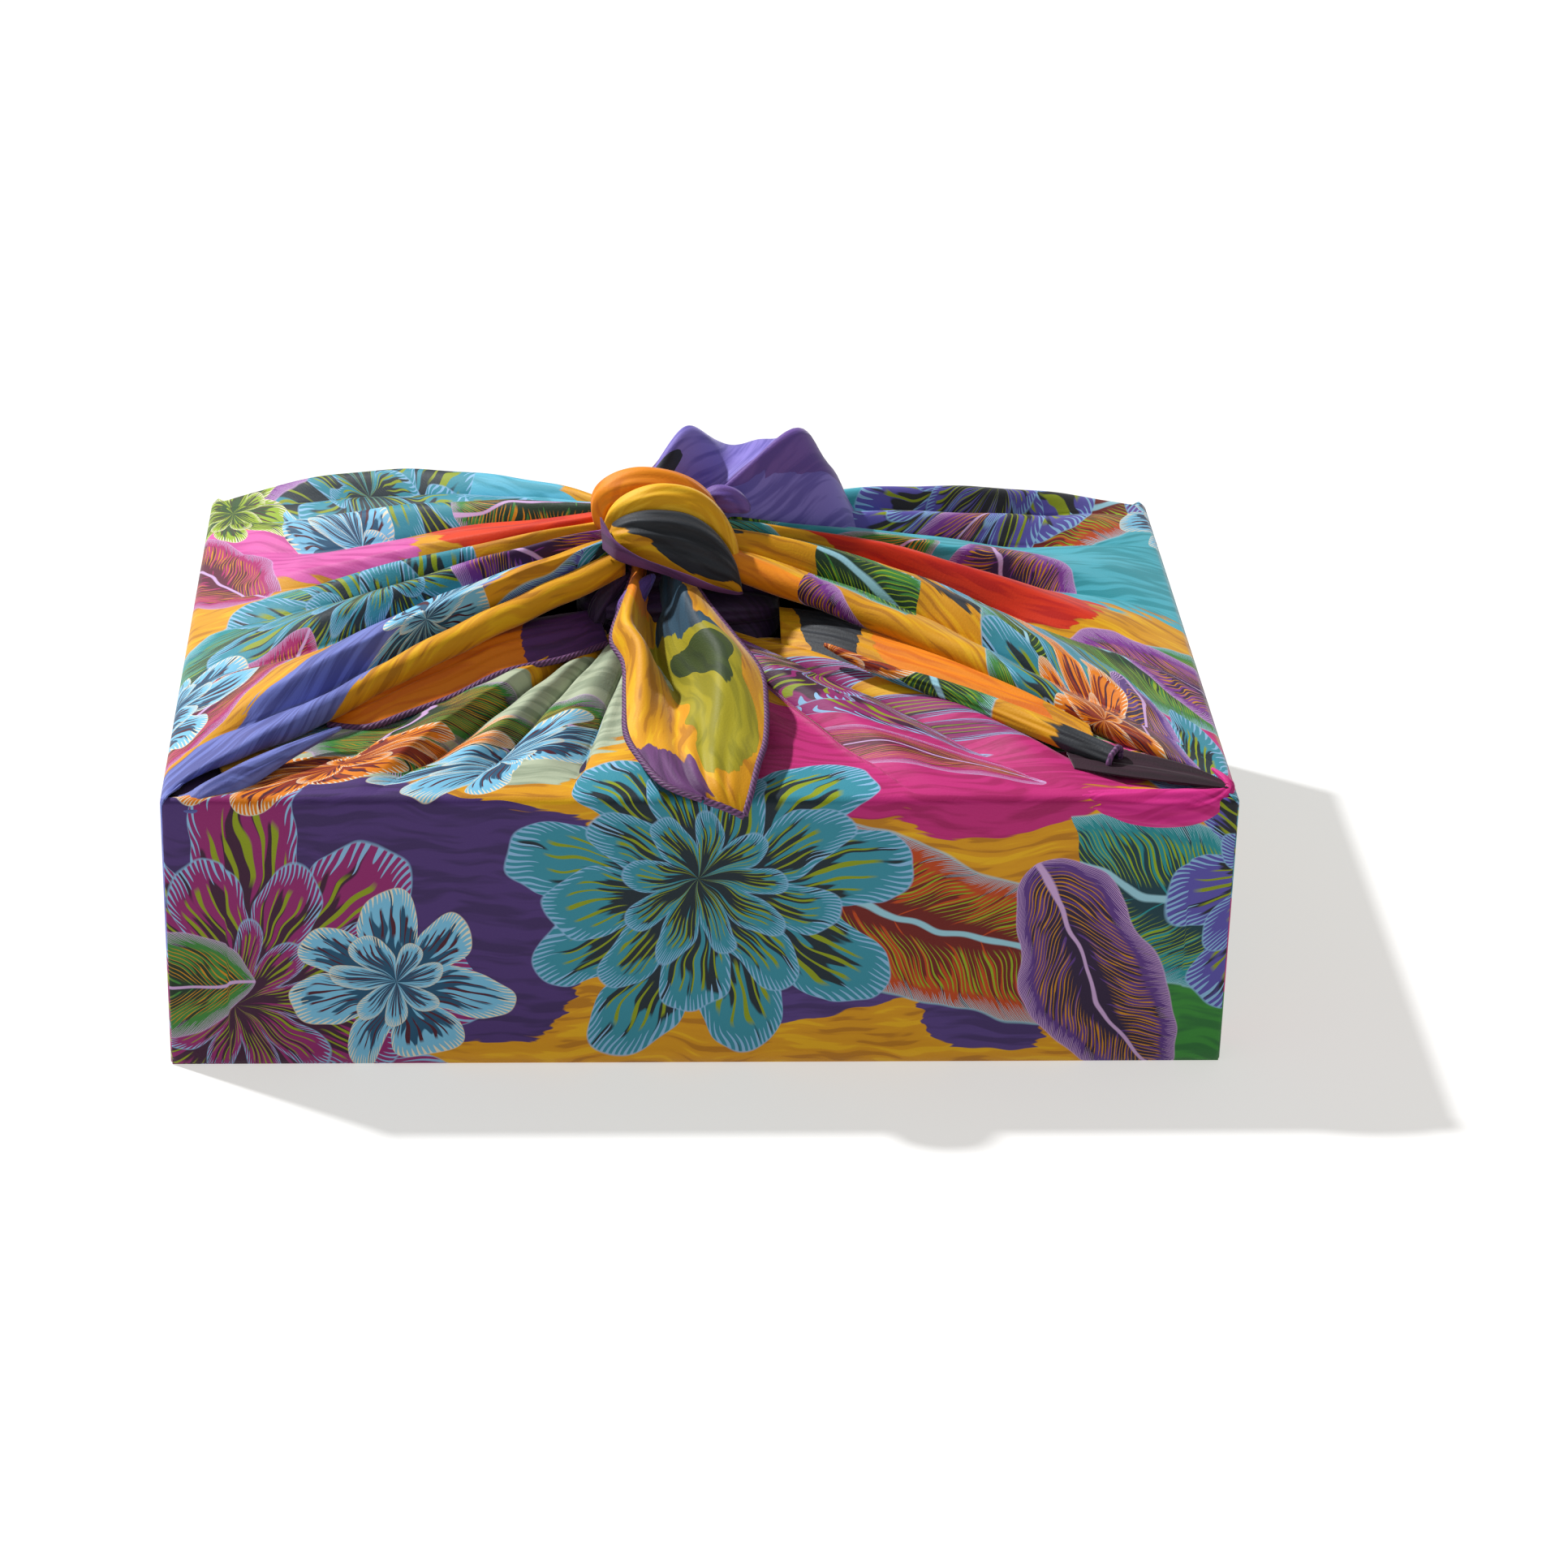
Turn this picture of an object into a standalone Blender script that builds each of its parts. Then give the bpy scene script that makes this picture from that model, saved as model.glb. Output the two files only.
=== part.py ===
"""A furoshiki, one square of printed cloth, tied over a low gift box.

The cloth stands under the box, climbs its four sides and crosses the top as four gathered
tongues. The front and back tongues are tied first, low on the box. The left and right tongues
are tied over them, and the two tails of that knot fall to the front and to the back.

Units are metres, +Z is up, -Y is the front, and the origin is the middle of the underside.
"""

import math
from collections import namedtuple

import bmesh
import bpy
import numpy as np

MM = 0.001

# Outside of the wrapped box, cloth included.
WRAP_WIDTH = 0.356
WRAP_DEPTH = 0.254
WRAP_HEIGHT = 0.100
CLOTH_THICK = 0.0014
TAIL_THICK = 0.0018
KNOT_TURN_THICK = 0.0060

# The box inside, held off the cloth on its sides and top and resting on the cloth below.
BOX_SIDE_GAP = 0.0020
BOX_TOP_GAP = 0.0020
BOX_REST_GAP = 0.0003
BOX_EDGE_ROUND = 0.0020

# Where the gathered tongues enter the two knots.
UPPER_LEFT_X = -0.024
UPPER_RIGHT_X = 0.004
LOWER_FRONT_Y = -0.020
LOWER_BACK_Y = 0.024

# How finely the tongues are divided, and how round a crest is against its valleys.
ROWS_TO_KNOT = 10
HALF_FOLD_STEPS = 2
CREST_ROUNDNESS = 0.6

# One gathered fold: where its crest stands along the box edge, halfway to the knot and at the
# knot, how high it stands above the box there, how deep the valley beyond it is, and where
# that valley lies between this crest (0) and the next (1). All in millimetres but the last.
Fold = namedtuple("Fold", "edge mid mid_rise knot knot_rise dip lap")

# Left and right tongues, from the back fold to the front fold.
LEFT_FOLDS = (
    Fold(121, 84, 29.0, 17, 44.5, 8.0, 0.45),
    Fold(110, 60, 29.0, 14, 46.0, 5.0, 0.40),
    Fold(82, 42, 33.0, 10, 46.5, 9.5, 0.35),
    Fold(36, 9, 31.5, 6, 46.0, 6.0, 0.38),
    Fold(8, -4, 31.5, 3, 45.0, 6.0, 0.38),
    Fold(-28, -22, 31.0, 0, 44.0, 9.5, 0.36),
    Fold(-88, -48, 28.5, -4, 41.5, 9.5, 0.40),
    Fold(-121, -61, 21.5, -8, 38.0, 0.0, 0.50),
)
RIGHT_FOLDS = (
    Fold(122, 74, 27.5, 16, 42.0, 8.0, 0.45),
    Fold(104, 55, 26.0, 12, 43.5, 8.0, 0.36),
    Fold(42, 24, 26.5, 8, 44.5, 7.5, 0.40),
    Fold(-14, 9, 26.5, 3, 45.0, 9.5, 0.36),
    Fold(-104, -16, 24.5, -2, 44.0, 10.5, 0.40),
    Fold(-122, -46, 20.0, -8, 40.0, 0.0, 0.50),
)

# Front and back tongues, from the left fold to the right fold. They lie low on the box, and
# their outermost folds run flat under the left and right tongues.
FRONT_FOLDS = (
    Fold(-172, -140, 2.5, -62, 7.0, 1.0, 0.50),
    Fold(-146, -104, 5.5, -38, 10.0, 2.5, 0.50),
    Fold(-118, -76, 9.5, -31, 12.0, 7.0, 0.38),
    Fold(-93, -61, 7.5, -27, 12.5, 5.0, 0.42),
    Fold(-60, -43, 6.0, -22, 13.0, 4.5, 0.44),
    Fold(-18, -16, 4.5, -14, 13.0, 2.5, 0.50),
    Fold(88, 46, 9.0, 4, 13.0, 5.5, 0.58),
    Fold(138, 84, 10.5, 12, 12.5, 5.0, 0.50),
    Fold(155, 112, 6.0, 24, 10.0, 2.0, 0.50),
    Fold(172, 140, 2.5, 54, 7.0, 0.0, 0.50),
)
BACK_FOLDS = (
    Fold(-172, -140, 2.5, -60, 7.0, 1.0, 0.50),
    Fold(-146, -108, 6.0, -36, 10.0, 4.0, 0.50),
    Fold(-118, -76, 9.5, -30, 12.0, 6.0, 0.45),
    Fold(-74, -50, 7.0, -22, 13.0, 4.0, 0.50),
    Fold(-6, -10, 5.0, -12, 13.5, 3.0, 0.50),
    Fold(62, 32, 7.5, -2, 13.0, 5.0, 0.55),
    Fold(112, 70, 9.0, 8, 12.5, 5.5, 0.50),
    Fold(150, 110, 6.0, 20, 10.0, 2.0, 0.50),
    Fold(172, 140, 2.5, 54, 7.0, 0.0, 0.50),
)

# One section across a tail: its left and right hems, and how far its left crest, its valley
# and its right crest stand off the straight line between them. All in millimetres.
Section = namedtuple("Section", "left right left_crest valley right_crest")
CREST_SHARES = (0.0, 0.14, 0.38, 0.70, 1.0)

FRONT_TAIL = (
    Section((-22, 4, 138), (-2, 0, 138), 1.0, -3.0, 2.0),
    Section((-22, -10, 129), (0, -12, 130), 2.0, -4.0, 3.0),
    Section((-25, -25, 125), (6, -29, 127), 4.0, -7.0, 4.0),
    Section((-29, -44, 120), (15, -47, 122), 6.0, -9.0, 5.0),
    Section((-24, -58, 117), (22, -66, 118), 6.0, -7.0, 6.0),
    Section((-25, -78, 113), (22, -86, 114), 4.0, -3.0, 5.0),
    Section((-25, -98, 110), (21, -104, 110), 1.5, -0.5, 4.0),
    Section((-21, -114, 109), (18, -118, 108), 1.0, 1.0, 3.0),
    Section((-13, -128, 106), (15, -131, 103), 0.5, 1.0, 2.0),
    Section((0, -134, 103), (13, -136, 98), 0.0, 0.3, 0.3),
)
BACK_TAIL = (
    Section((-20, 4, 148), (6, 4, 142), 1.0, 1.0, 1.0),
    Section((-18, 16, 152), (30, 14, 134), 8.0, 0.0, 14.0),
    Section((-12, 28, 155), (58, 26, 124), 19.0, 14.0, 32.0),
    Section((-10, 44, 150), (66, 44, 118), 14.0, 19.0, 30.0),
    Section((-9, 62, 138), (66, 62, 113), 12.0, 14.0, 22.0),
    Section((-8, 82, 126), (62, 82, 110), 8.0, 8.0, 13.0),
    Section((2, 100, 118), (58, 102, 109), 4.0, 4.0, 6.0),
    Section((18, 116, 112), (50, 118, 108), 2.0, 2.0, 2.0),
    Section((34, 128, 108), (41, 130, 107), 0.0, 0.0, 0.0),
)

# The broad turn of cloth over the front of the upper knot, from its left end to the tip at its
# right: here a section runs from the upper edge to the lower hem, and it swells forwards.
KNOT_TURN = (
    Section((-32, 2, 151), (-31, -8, 141), 2.0, 2.0, 2.0),
    Section((-28, 2, 156), (-28, -15, 138), 5.0, 5.0, 4.0),
    Section((-19, 2, 159), (-18, -19, 137), 7.0, 6.0, 5.0),
    Section((-8, 1, 158), (-7, -20, 134), 7.5, 5.0, 5.0),
    Section((2, -1, 153), (5, -19, 130), 6.0, 5.0, 5.0),
    Section((8, -5, 146), (12, -17, 127), 4.0, 4.0, 4.0),
    Section((12, -9, 137), (15, -15, 125), 1.0, 1.0, 1.0),
)
UPWARD = (0.0, 0.0, 1.0)
FORWARD_AND_UP = (0.0, -0.8, 0.6)

# A knot: its middle, its half sizes, how far it leans down to the right, how many lobes run
# along it, how deep they are and how far they turn from end to end.
Knot = namedtuple("Knot", "middle half lean lobes lobe_depth turn")
UPPER_KNOT = Knot((-12, 4, 146), (23, 17, 16), 0.35, 5, 0.055, 1.2)
LOWER_KNOT = Knot((-5, 2, 114), (36, 27, 16), 0.08, 7, 0.060, 0.9)
KNOT_RINGS = 12
KNOT_SIDES = 28
KNOT_END_BLUNTNESS = 0.62

# The rolled rim of an upper tongue: the radius it is rolled to, the width turned inwards below
# it and its steps. It grows between two shares of the way to the knot.
Rim = namedtuple("Rim", "roll tuck steps")
WING_RIM = Rim(0.0050, 0.012, 4)
ROLL_BEGINS = 0.10
ROLL_GROWN_BY = 0.42
CORNER_REACH = 0.06
JOINED_ROW = 1

# The outermost folds of the lower tongues draw in by this much just inside each corner.
PINCH = 0.010
PINCH_AT = 0.13
PINCH_SPREAD = 0.10

CLOTH_COLOUR = (0.72, 0.30, 0.16, 1.0)
CLOTH_ROUGHNESS = 0.62
BOARD_COLOUR = (0.86, 0.84, 0.80, 1.0)
BOARD_ROUGHNESS = 0.75


def clear_scene():
    """Empty the scene of whatever objects it starts with."""
    for found in list(bpy.data.objects):
        bpy.data.objects.remove(found, do_unlink=True)


def make_collection(name):
    """Make a collection in the scene."""
    made = bpy.data.collections.new(name)
    bpy.context.scene.collection.children.link(made)
    return made


def make_material(name, colour, roughness):
    """Make a plain Principled material."""
    material = bpy.data.materials.new(name)
    material.use_nodes = True
    shader = material.node_tree.nodes["Principled BSDF"]
    shader.inputs["Base Color"].default_value = colour
    shader.inputs["Roughness"].default_value = roughness
    shader.inputs["Metallic"].default_value = 0.0
    return material


def smoothstep(low, high, value):
    """Ease from 0 at low to 1 at high."""
    share = np.clip((value - low) / (high - low), 0.0, 1.0)
    return share * share * (3.0 - 2.0 * share)


def through(start, middle, end, share):
    """Quadratic that passes start at 0, middle at 0.5 and end at 1."""
    return (
        start * (1.0 - share) * (1.0 - 2.0 * share)
        + 4.0 * middle * share * (1.0 - share)
        + end * share * (2.0 * share - 1.0)
    )


def crest_lines(folds, share, pinched):
    """Place along the edge, and rise over the box, of every crest at one share of the way."""
    along = np.array([through(f.edge, f.mid, f.knot, share) for f in folds]) * MM
    if pinched:
        draw = PINCH * math.exp(-(((share - PINCH_AT) / PINCH_SPREAD) ** 2))
        along[0] -= math.copysign(draw, along[0])
        along[-1] -= math.copysign(draw, along[-1])
    rise = np.array([through(0.0, f.mid_rise, f.knot_rise, share) for f in folds]) * MM
    return along, rise


def drop_from_crest(part):
    """Share of the drop reached this part of the way from a round crest to a sharper valley."""
    return CREST_ROUNDNESS * (1.0 - math.cos(math.pi * part / 2)) + (1.0 - CREST_ROUNDNESS) * (
        0.5 - 0.5 * math.cos(math.pi * part)
    )


def fold_depth(share):
    """How much of a valley's depth is there: none at the edge, most past halfway."""
    return smoothstep(0.0, 0.5, share) * (1.0 - 0.75 * smoothstep(0.72, 1.0, share))


def rolled_rim(along, rise, outward, rim, share):
    """Points of a rim that turns down and back under its last crest."""
    growth = smoothstep(ROLL_BEGINS, ROLL_GROWN_BY, share)
    radius = rim.roll * growth
    turn = np.linspace(0.0, math.pi, rim.steps + 1)[1:]
    arc_along = along + outward * radius * np.sin(turn)
    arc_rise = rise - radius * (1.0 - np.cos(turn))
    return (
        np.append(arc_along, along - outward * rim.tuck * growth),
        np.append(arc_rise, rise - 2.0 * radius),
    )


def tongue_section(folds, half_width, rim, share):
    """One cross-section of a tongue: places along the edge and rises, rim to rim."""
    crest_along, crest_rise = crest_lines(folds, share, rim is None)
    first = 1.0 if crest_along[0] > crest_along[-1] else -1.0
    along, rise = [], []
    for k, fold in enumerate(folds[:-1]):
        next_along, next_rise = crest_along[k + 1], crest_rise[k + 1]
        valley_along = crest_along[k] + fold.lap * (next_along - crest_along[k])
        level = crest_rise[k] + fold.lap * (next_rise - crest_rise[k])
        valley_rise = level - fold.dip * MM * fold_depth(share)
        for step in range(HALF_FOLD_STEPS):
            part = step / HALF_FOLD_STEPS
            along.append(crest_along[k] + part * (valley_along - crest_along[k]))
            rise.append(crest_rise[k] + drop_from_crest(part) * (valley_rise - crest_rise[k]))
        for step in range(HALF_FOLD_STEPS):
            part = 1.0 - step / HALF_FOLD_STEPS
            along.append(next_along + part * (valley_along - next_along))
            rise.append(next_rise + drop_from_crest(part) * (valley_rise - next_rise))
    along.append(crest_along[-1])
    rise.append(crest_rise[-1])
    rim_points = 1
    if rim:
        rim_points += rim.steps + 1
        start = rolled_rim(crest_along[0], crest_rise[0], first, rim, share)
        end = rolled_rim(crest_along[-1], crest_rise[-1], -first, rim, share)
        along = [*start[0][::-1], *along, *end[0]]
        rise = [*start[1][::-1], *rise, *end[1]]
    along, rise = np.array(along), np.array(rise)
    # The rims run out to the corners of the box at its edge.
    pull = 1.0 - smoothstep(0.0, CORNER_REACH, share)
    for held, side in ((slice(0, rim_points), first), (slice(-rim_points, None), -first)):
        along[held] += pull * (side * half_width - along[held])
    return along, rise


def tongue_rows(folds, half_width, rim, place):
    """World points of a tongue, row by row from the box edge to the knot."""
    rows = []
    for share in np.linspace(0.0, 1.0, ROWS_TO_KNOT + 1):
        along, rise = tongue_section(folds, half_width, rim, share)
        rows.append(place(along, share, rise))
    return rows


def left_place(along, share, rise):
    """World points of a row of the left tongue."""
    x = -WRAP_WIDTH / 2 + share * (UPPER_LEFT_X + WRAP_WIDTH / 2)
    return [(x, a, WRAP_HEIGHT + r) for a, r in zip(along, rise)]


def right_place(along, share, rise):
    """World points of a row of the right tongue."""
    x = WRAP_WIDTH / 2 + share * (UPPER_RIGHT_X - WRAP_WIDTH / 2)
    return [(x, a, WRAP_HEIGHT + r) for a, r in zip(along, rise)]


def front_place(along, share, rise):
    """World points of a row of the front tongue."""
    y = -WRAP_DEPTH / 2 + share * (LOWER_FRONT_Y + WRAP_DEPTH / 2)
    return [(a, y, WRAP_HEIGHT + r) for a, r in zip(along, rise)]


def back_place(along, share, rise):
    """World points of a row of the back tongue."""
    y = WRAP_DEPTH / 2 + share * (LOWER_BACK_Y - WRAP_DEPTH / 2)
    return [(a, y, WRAP_HEIGHT + r) for a, r in zip(along, rise)]


def add_grid(mesh, rows):
    """Add a grid of quads to a bmesh and return its vertices row by row."""
    made = [[mesh.verts.new(point) for point in row] for row in rows]
    for lower, upper in zip(made[:-1], made[1:]):
        for i in range(len(lower) - 1):
            mesh.faces.new((lower[i], lower[i + 1], upper[i + 1], upper[i]))
    return made


def new_object(name, mesh, collection):
    """Turn a bmesh into an object of a collection."""
    data = bpy.data.meshes.new(name)
    mesh.to_mesh(data)
    mesh.free()
    made = bpy.data.objects.new(name, data)
    collection.objects.link(made)
    return made


def thicken(cloth, thickness, offset):
    """Give an open sheet its thickness."""
    solidify = cloth.modifiers.new("thickness", "SOLIDIFY")
    solidify.thickness = thickness
    solidify.offset = offset
    solidify.use_even_offset = False
    return cloth


def build_sheet(collection):
    """The underside, the four sides and the four gathered tongues as one sheet."""
    half_x, half_y = WRAP_WIDTH / 2, WRAP_DEPTH / 2
    left = tongue_rows(LEFT_FOLDS, half_y, WING_RIM, left_place)
    right = tongue_rows(RIGHT_FOLDS, half_y, WING_RIM, right_place)
    front = tongue_rows(FRONT_FOLDS, half_x, None, front_place)
    back = tongue_rows(BACK_FOLDS, half_x, None, back_place)
    # Near each corner the cloth runs on from one tongue into the next.
    for upper, upper_end, lower, lower_end in (
        (left, -1, front, 0),
        (right, -1, front, -1),
        (left, 0, back, 0),
        (right, 0, back, -1),
    ):
        upper[JOINED_ROW][upper_end] = lower[JOINED_ROW][lower_end]
    mesh = bmesh.new()
    underside = {}
    for rows in (left, right, front, back):
        foot = [(x, y, 0.0) for x, y, _ in rows[0]]
        add_grid(mesh, [foot] + rows)
        for x, y, _ in foot:
            underside[(round(x, 6), round(y, 6))] = math.atan2(y, x)
    ring = sorted(underside, key=underside.get)
    mesh.faces.new([mesh.verts.new((x, y, 0.0)) for x, y in ring])
    bmesh.ops.remove_doubles(mesh, verts=mesh.verts[:], dist=2e-5)
    bmesh.ops.dissolve_degenerate(mesh, edges=mesh.edges[:], dist=1e-6)
    bmesh.ops.recalc_face_normals(mesh, faces=mesh.faces[:])
    return thicken(new_object("furoshiki", mesh, collection), CLOTH_THICK, -1.0)


def build_loft(name, sections, swell, thickness, offset, collection):
    """A strip of cloth lofted through its sections, which swell in one direction."""
    mesh = bmesh.new()
    rows = []
    for section in sections:
        left = np.array(section.left) * MM
        right = np.array(section.right) * MM
        rises = np.array((0, section.left_crest, section.valley, section.right_crest, 0)) * MM
        swelled = [r * np.array(swell) for r in rises]
        rows.append([left + s * (right - left) + d for s, d in zip(CREST_SHARES, swelled)])
    add_grid(mesh, rows)
    strip = new_object(name, mesh, collection)
    smooth = strip.modifiers.new("soft folds", "SUBSURF")
    smooth.levels = 1
    smooth.render_levels = 1
    return thicken(strip, thickness, offset)


def build_knot(name, knot, collection):
    """A knot as one closed, lobed form about an axis that runs from left to right."""
    mesh = bmesh.new()
    middle, half = np.array(knot.middle) * MM, np.array(knot.half) * MM
    rings = []
    for polar in np.linspace(0.0, math.pi, KNOT_RINGS + 1)[1:-1]:
        reach = -math.cos(polar)
        girth = math.sin(polar) ** KNOT_END_BLUNTNESS
        ring = []
        for k in range(KNOT_SIDES):
            angle = 2 * math.pi * k / KNOT_SIDES
            lobe = 1.0 + knot.lobe_depth * math.cos(knot.lobes * angle + knot.turn * reach)
            offset = (
                half[0] * reach,
                half[1] * girth * lobe * math.cos(angle),
                half[2] * girth * lobe * math.sin(angle) - knot.lean * half[0] * reach,
            )
            ring.append(mesh.verts.new(middle + offset))
        rings.append(ring)
    for near, far in zip(rings[:-1], rings[1:]):
        for k in range(KNOT_SIDES):
            n = (k + 1) % KNOT_SIDES
            mesh.faces.new((near[k], near[n], far[n], far[k]))
    for ring, side in ((rings[0], -1.0), (rings[-1], 1.0)):
        end = middle + np.array((side * half[0], 0.0, -side * knot.lean * half[0]))
        pole = mesh.verts.new(end)
        for k in range(KNOT_SIDES):
            mesh.faces.new((ring[k], ring[(k + 1) % KNOT_SIDES], pole))
    bmesh.ops.recalc_face_normals(mesh, faces=mesh.faces[:])
    return new_object(name, mesh, collection)


def join_solid(base, added):
    """Join a helper solid to the base. The solver is the one that keeps tight folds whole."""
    union = base.modifiers.new("joined to " + added.name, "BOOLEAN")
    union.operation = "UNION"
    union.solver = "MANIFOLD"
    union.object = added
    added.hide_render = True
    added.display_type = "WIRE"


def build_wrap(collection, helpers):
    """The whole cloth: the sheet with both knots and both tails as one solid."""
    wrap = build_sheet(collection)
    join_solid(wrap, build_knot("lower_knot", LOWER_KNOT, helpers))
    join_solid(wrap, build_knot("upper_knot", UPPER_KNOT, helpers))
    lofts = (
        ("knot_turn", KNOT_TURN, FORWARD_AND_UP, KNOT_TURN_THICK, -1.0),
        ("front_tail", FRONT_TAIL, UPWARD, TAIL_THICK, 0.0),
        ("back_tail", BACK_TAIL, UPWARD, TAIL_THICK, 0.0),
    )
    for name, sections, swell, thickness, offset in lofts:
        join_solid(wrap, build_loft(name, sections, swell, thickness, offset, helpers))
    return wrap


def build_box(collection):
    """The gift box under the cloth."""
    width = WRAP_WIDTH - 2 * (CLOTH_THICK + BOX_SIDE_GAP)
    depth = WRAP_DEPTH - 2 * (CLOTH_THICK + BOX_SIDE_GAP)
    foot = CLOTH_THICK + BOX_REST_GAP
    height = WRAP_HEIGHT - CLOTH_THICK - BOX_TOP_GAP - foot
    mesh = bmesh.new()
    bmesh.ops.create_cube(mesh, size=1.0)
    bmesh.ops.scale(mesh, vec=(width, depth, height), verts=mesh.verts[:])
    bmesh.ops.translate(mesh, vec=(0.0, 0.0, foot + height / 2), verts=mesh.verts[:])
    box = new_object("gift_box", mesh, collection)
    rounding = box.modifiers.new("rounded edges", "BEVEL")
    rounding.width = BOX_EDGE_ROUND
    rounding.segments = 2
    return box


def main():
    """Build the wrapped box."""
    clear_scene()
    parts = make_collection("furoshiki_wrap")
    helpers = make_collection("helpers")
    cloth = make_material("printed cloth", CLOTH_COLOUR, CLOTH_ROUGHNESS)
    board = make_material("white board", BOARD_COLOUR, BOARD_ROUGHNESS)
    wrap = build_wrap(parts, helpers)
    wrap.data.materials.append(cloth)
    box = build_box(parts)
    box.data.materials.append(board)


main()
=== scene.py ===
"""A furoshiki, one square of printed crepe, tied over a low gift box: the looks.

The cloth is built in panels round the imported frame. Each side of the box and the tongue that is
gathered from it to the knot is one sheet, on the folds of its solid. The knot and its two tails
are strips of the same cloth, and a rolled hem of purple thread runs along each free edge.

Units are metres, +Z is up, -Y is the front, and the origin is the middle of the underside. Every
UV map holds the place on the flat cloth in metres, with the middle of the square at (0, 0), so
that the print runs on over the edges of the box. The knot, the rolls and the tails read a plain
margin beside the printed garden instead.
"""

import logging
import math
from collections.abc import Mapping, Sequence
from dataclasses import dataclass
from enum import Enum
from typing import Any, NamedTuple

import bpy
import numpy as np
from mathutils import Matrix
from numpy.typing import NDArray


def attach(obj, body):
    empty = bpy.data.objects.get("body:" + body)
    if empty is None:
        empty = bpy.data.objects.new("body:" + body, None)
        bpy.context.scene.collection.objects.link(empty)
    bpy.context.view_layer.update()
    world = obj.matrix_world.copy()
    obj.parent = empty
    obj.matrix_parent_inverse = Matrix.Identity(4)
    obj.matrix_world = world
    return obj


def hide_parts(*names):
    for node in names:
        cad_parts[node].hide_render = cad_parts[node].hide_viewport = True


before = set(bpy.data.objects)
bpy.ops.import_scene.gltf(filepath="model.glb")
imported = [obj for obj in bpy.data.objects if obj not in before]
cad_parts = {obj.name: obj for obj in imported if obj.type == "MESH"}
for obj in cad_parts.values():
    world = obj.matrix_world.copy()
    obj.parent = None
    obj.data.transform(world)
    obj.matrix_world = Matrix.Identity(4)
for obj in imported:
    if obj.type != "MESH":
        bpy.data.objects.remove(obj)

Array = NDArray[np.float64]

MM = 0.001
WRAP_WIDTH = 0.356
WRAP_DEPTH = 0.254
WRAP_HEIGHT = 0.100
CLOTH_THICK = 0.0006
FORWARDS = (0.0, -0.8, 0.6)
UPWARDS = (0.0, 0.0, 1.0)
ALL_ROUND = ("left", "right", "end")
# How far short of the middle of the box each tongue enters the knot.
FRONT_STOP = 0.020
BACK_STOP = 0.024
LEFT_STOP = 0.024
RIGHT_STOP = 0.004
LOG = logging.getLogger("furoshiki")


class Fold(NamedTuple):
    """One gathered fold of a tongue, in millimetres but for the last value.

    Its crest stands at edge on the edge of the box, at mid halfway and at knot where it enters
    the knot. mid_rise and knot_rise are its heights over the box there. The valley beyond it is
    dip deep and lies lap of the way to the next crest.
    """

    edge: float
    mid: float
    mid_rise: float
    knot: float
    knot_rise: float
    dip: float
    lap: float


class Crease(NamedTuple):
    """A soft ridge, or a trough where height is negative, that runs out of the knot.

    edge, mid and knot are its places as in Fold. It is height high and width wide, both in
    millimetres, and fades out at the share of the way where it begins.
    """

    edge: float
    mid: float
    knot: float
    height: float
    width: float
    begins: float


class Section(NamedTuple):
    """A section across a tail, in millimetres.

    left and right are its hems. The other values are how far its left crest, its valley and its
    right crest stand off the straight line between them.
    """

    left: tuple[float, float, float]
    right: tuple[float, float, float]
    left_crest: float
    valley: float
    right_crest: float


LEFT_FOLDS = (
    Fold(121, 84, 30.0, 17, 44.5, 8.0, 0.45),
    Fold(110, 60, 29.0, 14, 46.0, 5.0, 0.40),
    Fold(82, 42, 33.0, 10, 46.5, 9.5, 0.30),
    Fold(36, 9, 31.5, 6, 46.0, 6.5, 0.35),
    Fold(8, -4, 31.5, 3, 45.0, 7.0, 0.30),
    Fold(-28, -22, 31.0, 0, 44.0, 10.0, 0.28),
    Fold(-88, -48, 28.5, -4, 41.5, 9.5, 0.35),
    Fold(-121, -61, 21.5, -8, 38.0, 0.0, 0.50),
)
RIGHT_FOLDS = (
    Fold(122, 74, 28.5, 16, 42.0, 8.0, 0.45),
    Fold(104, 55, 26.0, 12, 43.5, 8.5, 0.32),
    Fold(42, 24, 26.5, 8, 44.5, 8.5, 0.35),
    Fold(-14, 9, 26.5, 3, 45.0, 10.0, 0.32),
    Fold(-104, -16, 24.5, -2, 44.0, 11.0, 0.34),
    Fold(-122, -46, 20.0, -8, 40.0, 0.0, 0.50),
)
FRONT_FOLDS = (
    Fold(-172, -140, 2.5, -62, 7.0, 1.0, 0.50),
    Fold(-146, -104, 5.5, -38, 10.0, 3.0, 0.40),
    Fold(-118, -76, 11.0, -31, 12.5, 9.5, 0.30),
    Fold(-93, -61, 8.5, -27, 13.0, 7.0, 0.34),
    Fold(-60, -43, 7.0, -22, 13.5, 6.0, 0.36),
    Fold(-18, -16, 5.5, -14, 13.5, 5.5, 0.84),
    Fold(88, 46, 10.0, 4, 14.0, 6.5, 0.62),
    Fold(138, 84, 10.5, 12, 12.5, 6.0, 0.50),
    Fold(155, 112, 6.0, 24, 10.0, 2.0, 0.50),
    Fold(172, 140, 2.5, 54, 7.0, 0.0, 0.50),
)
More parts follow.
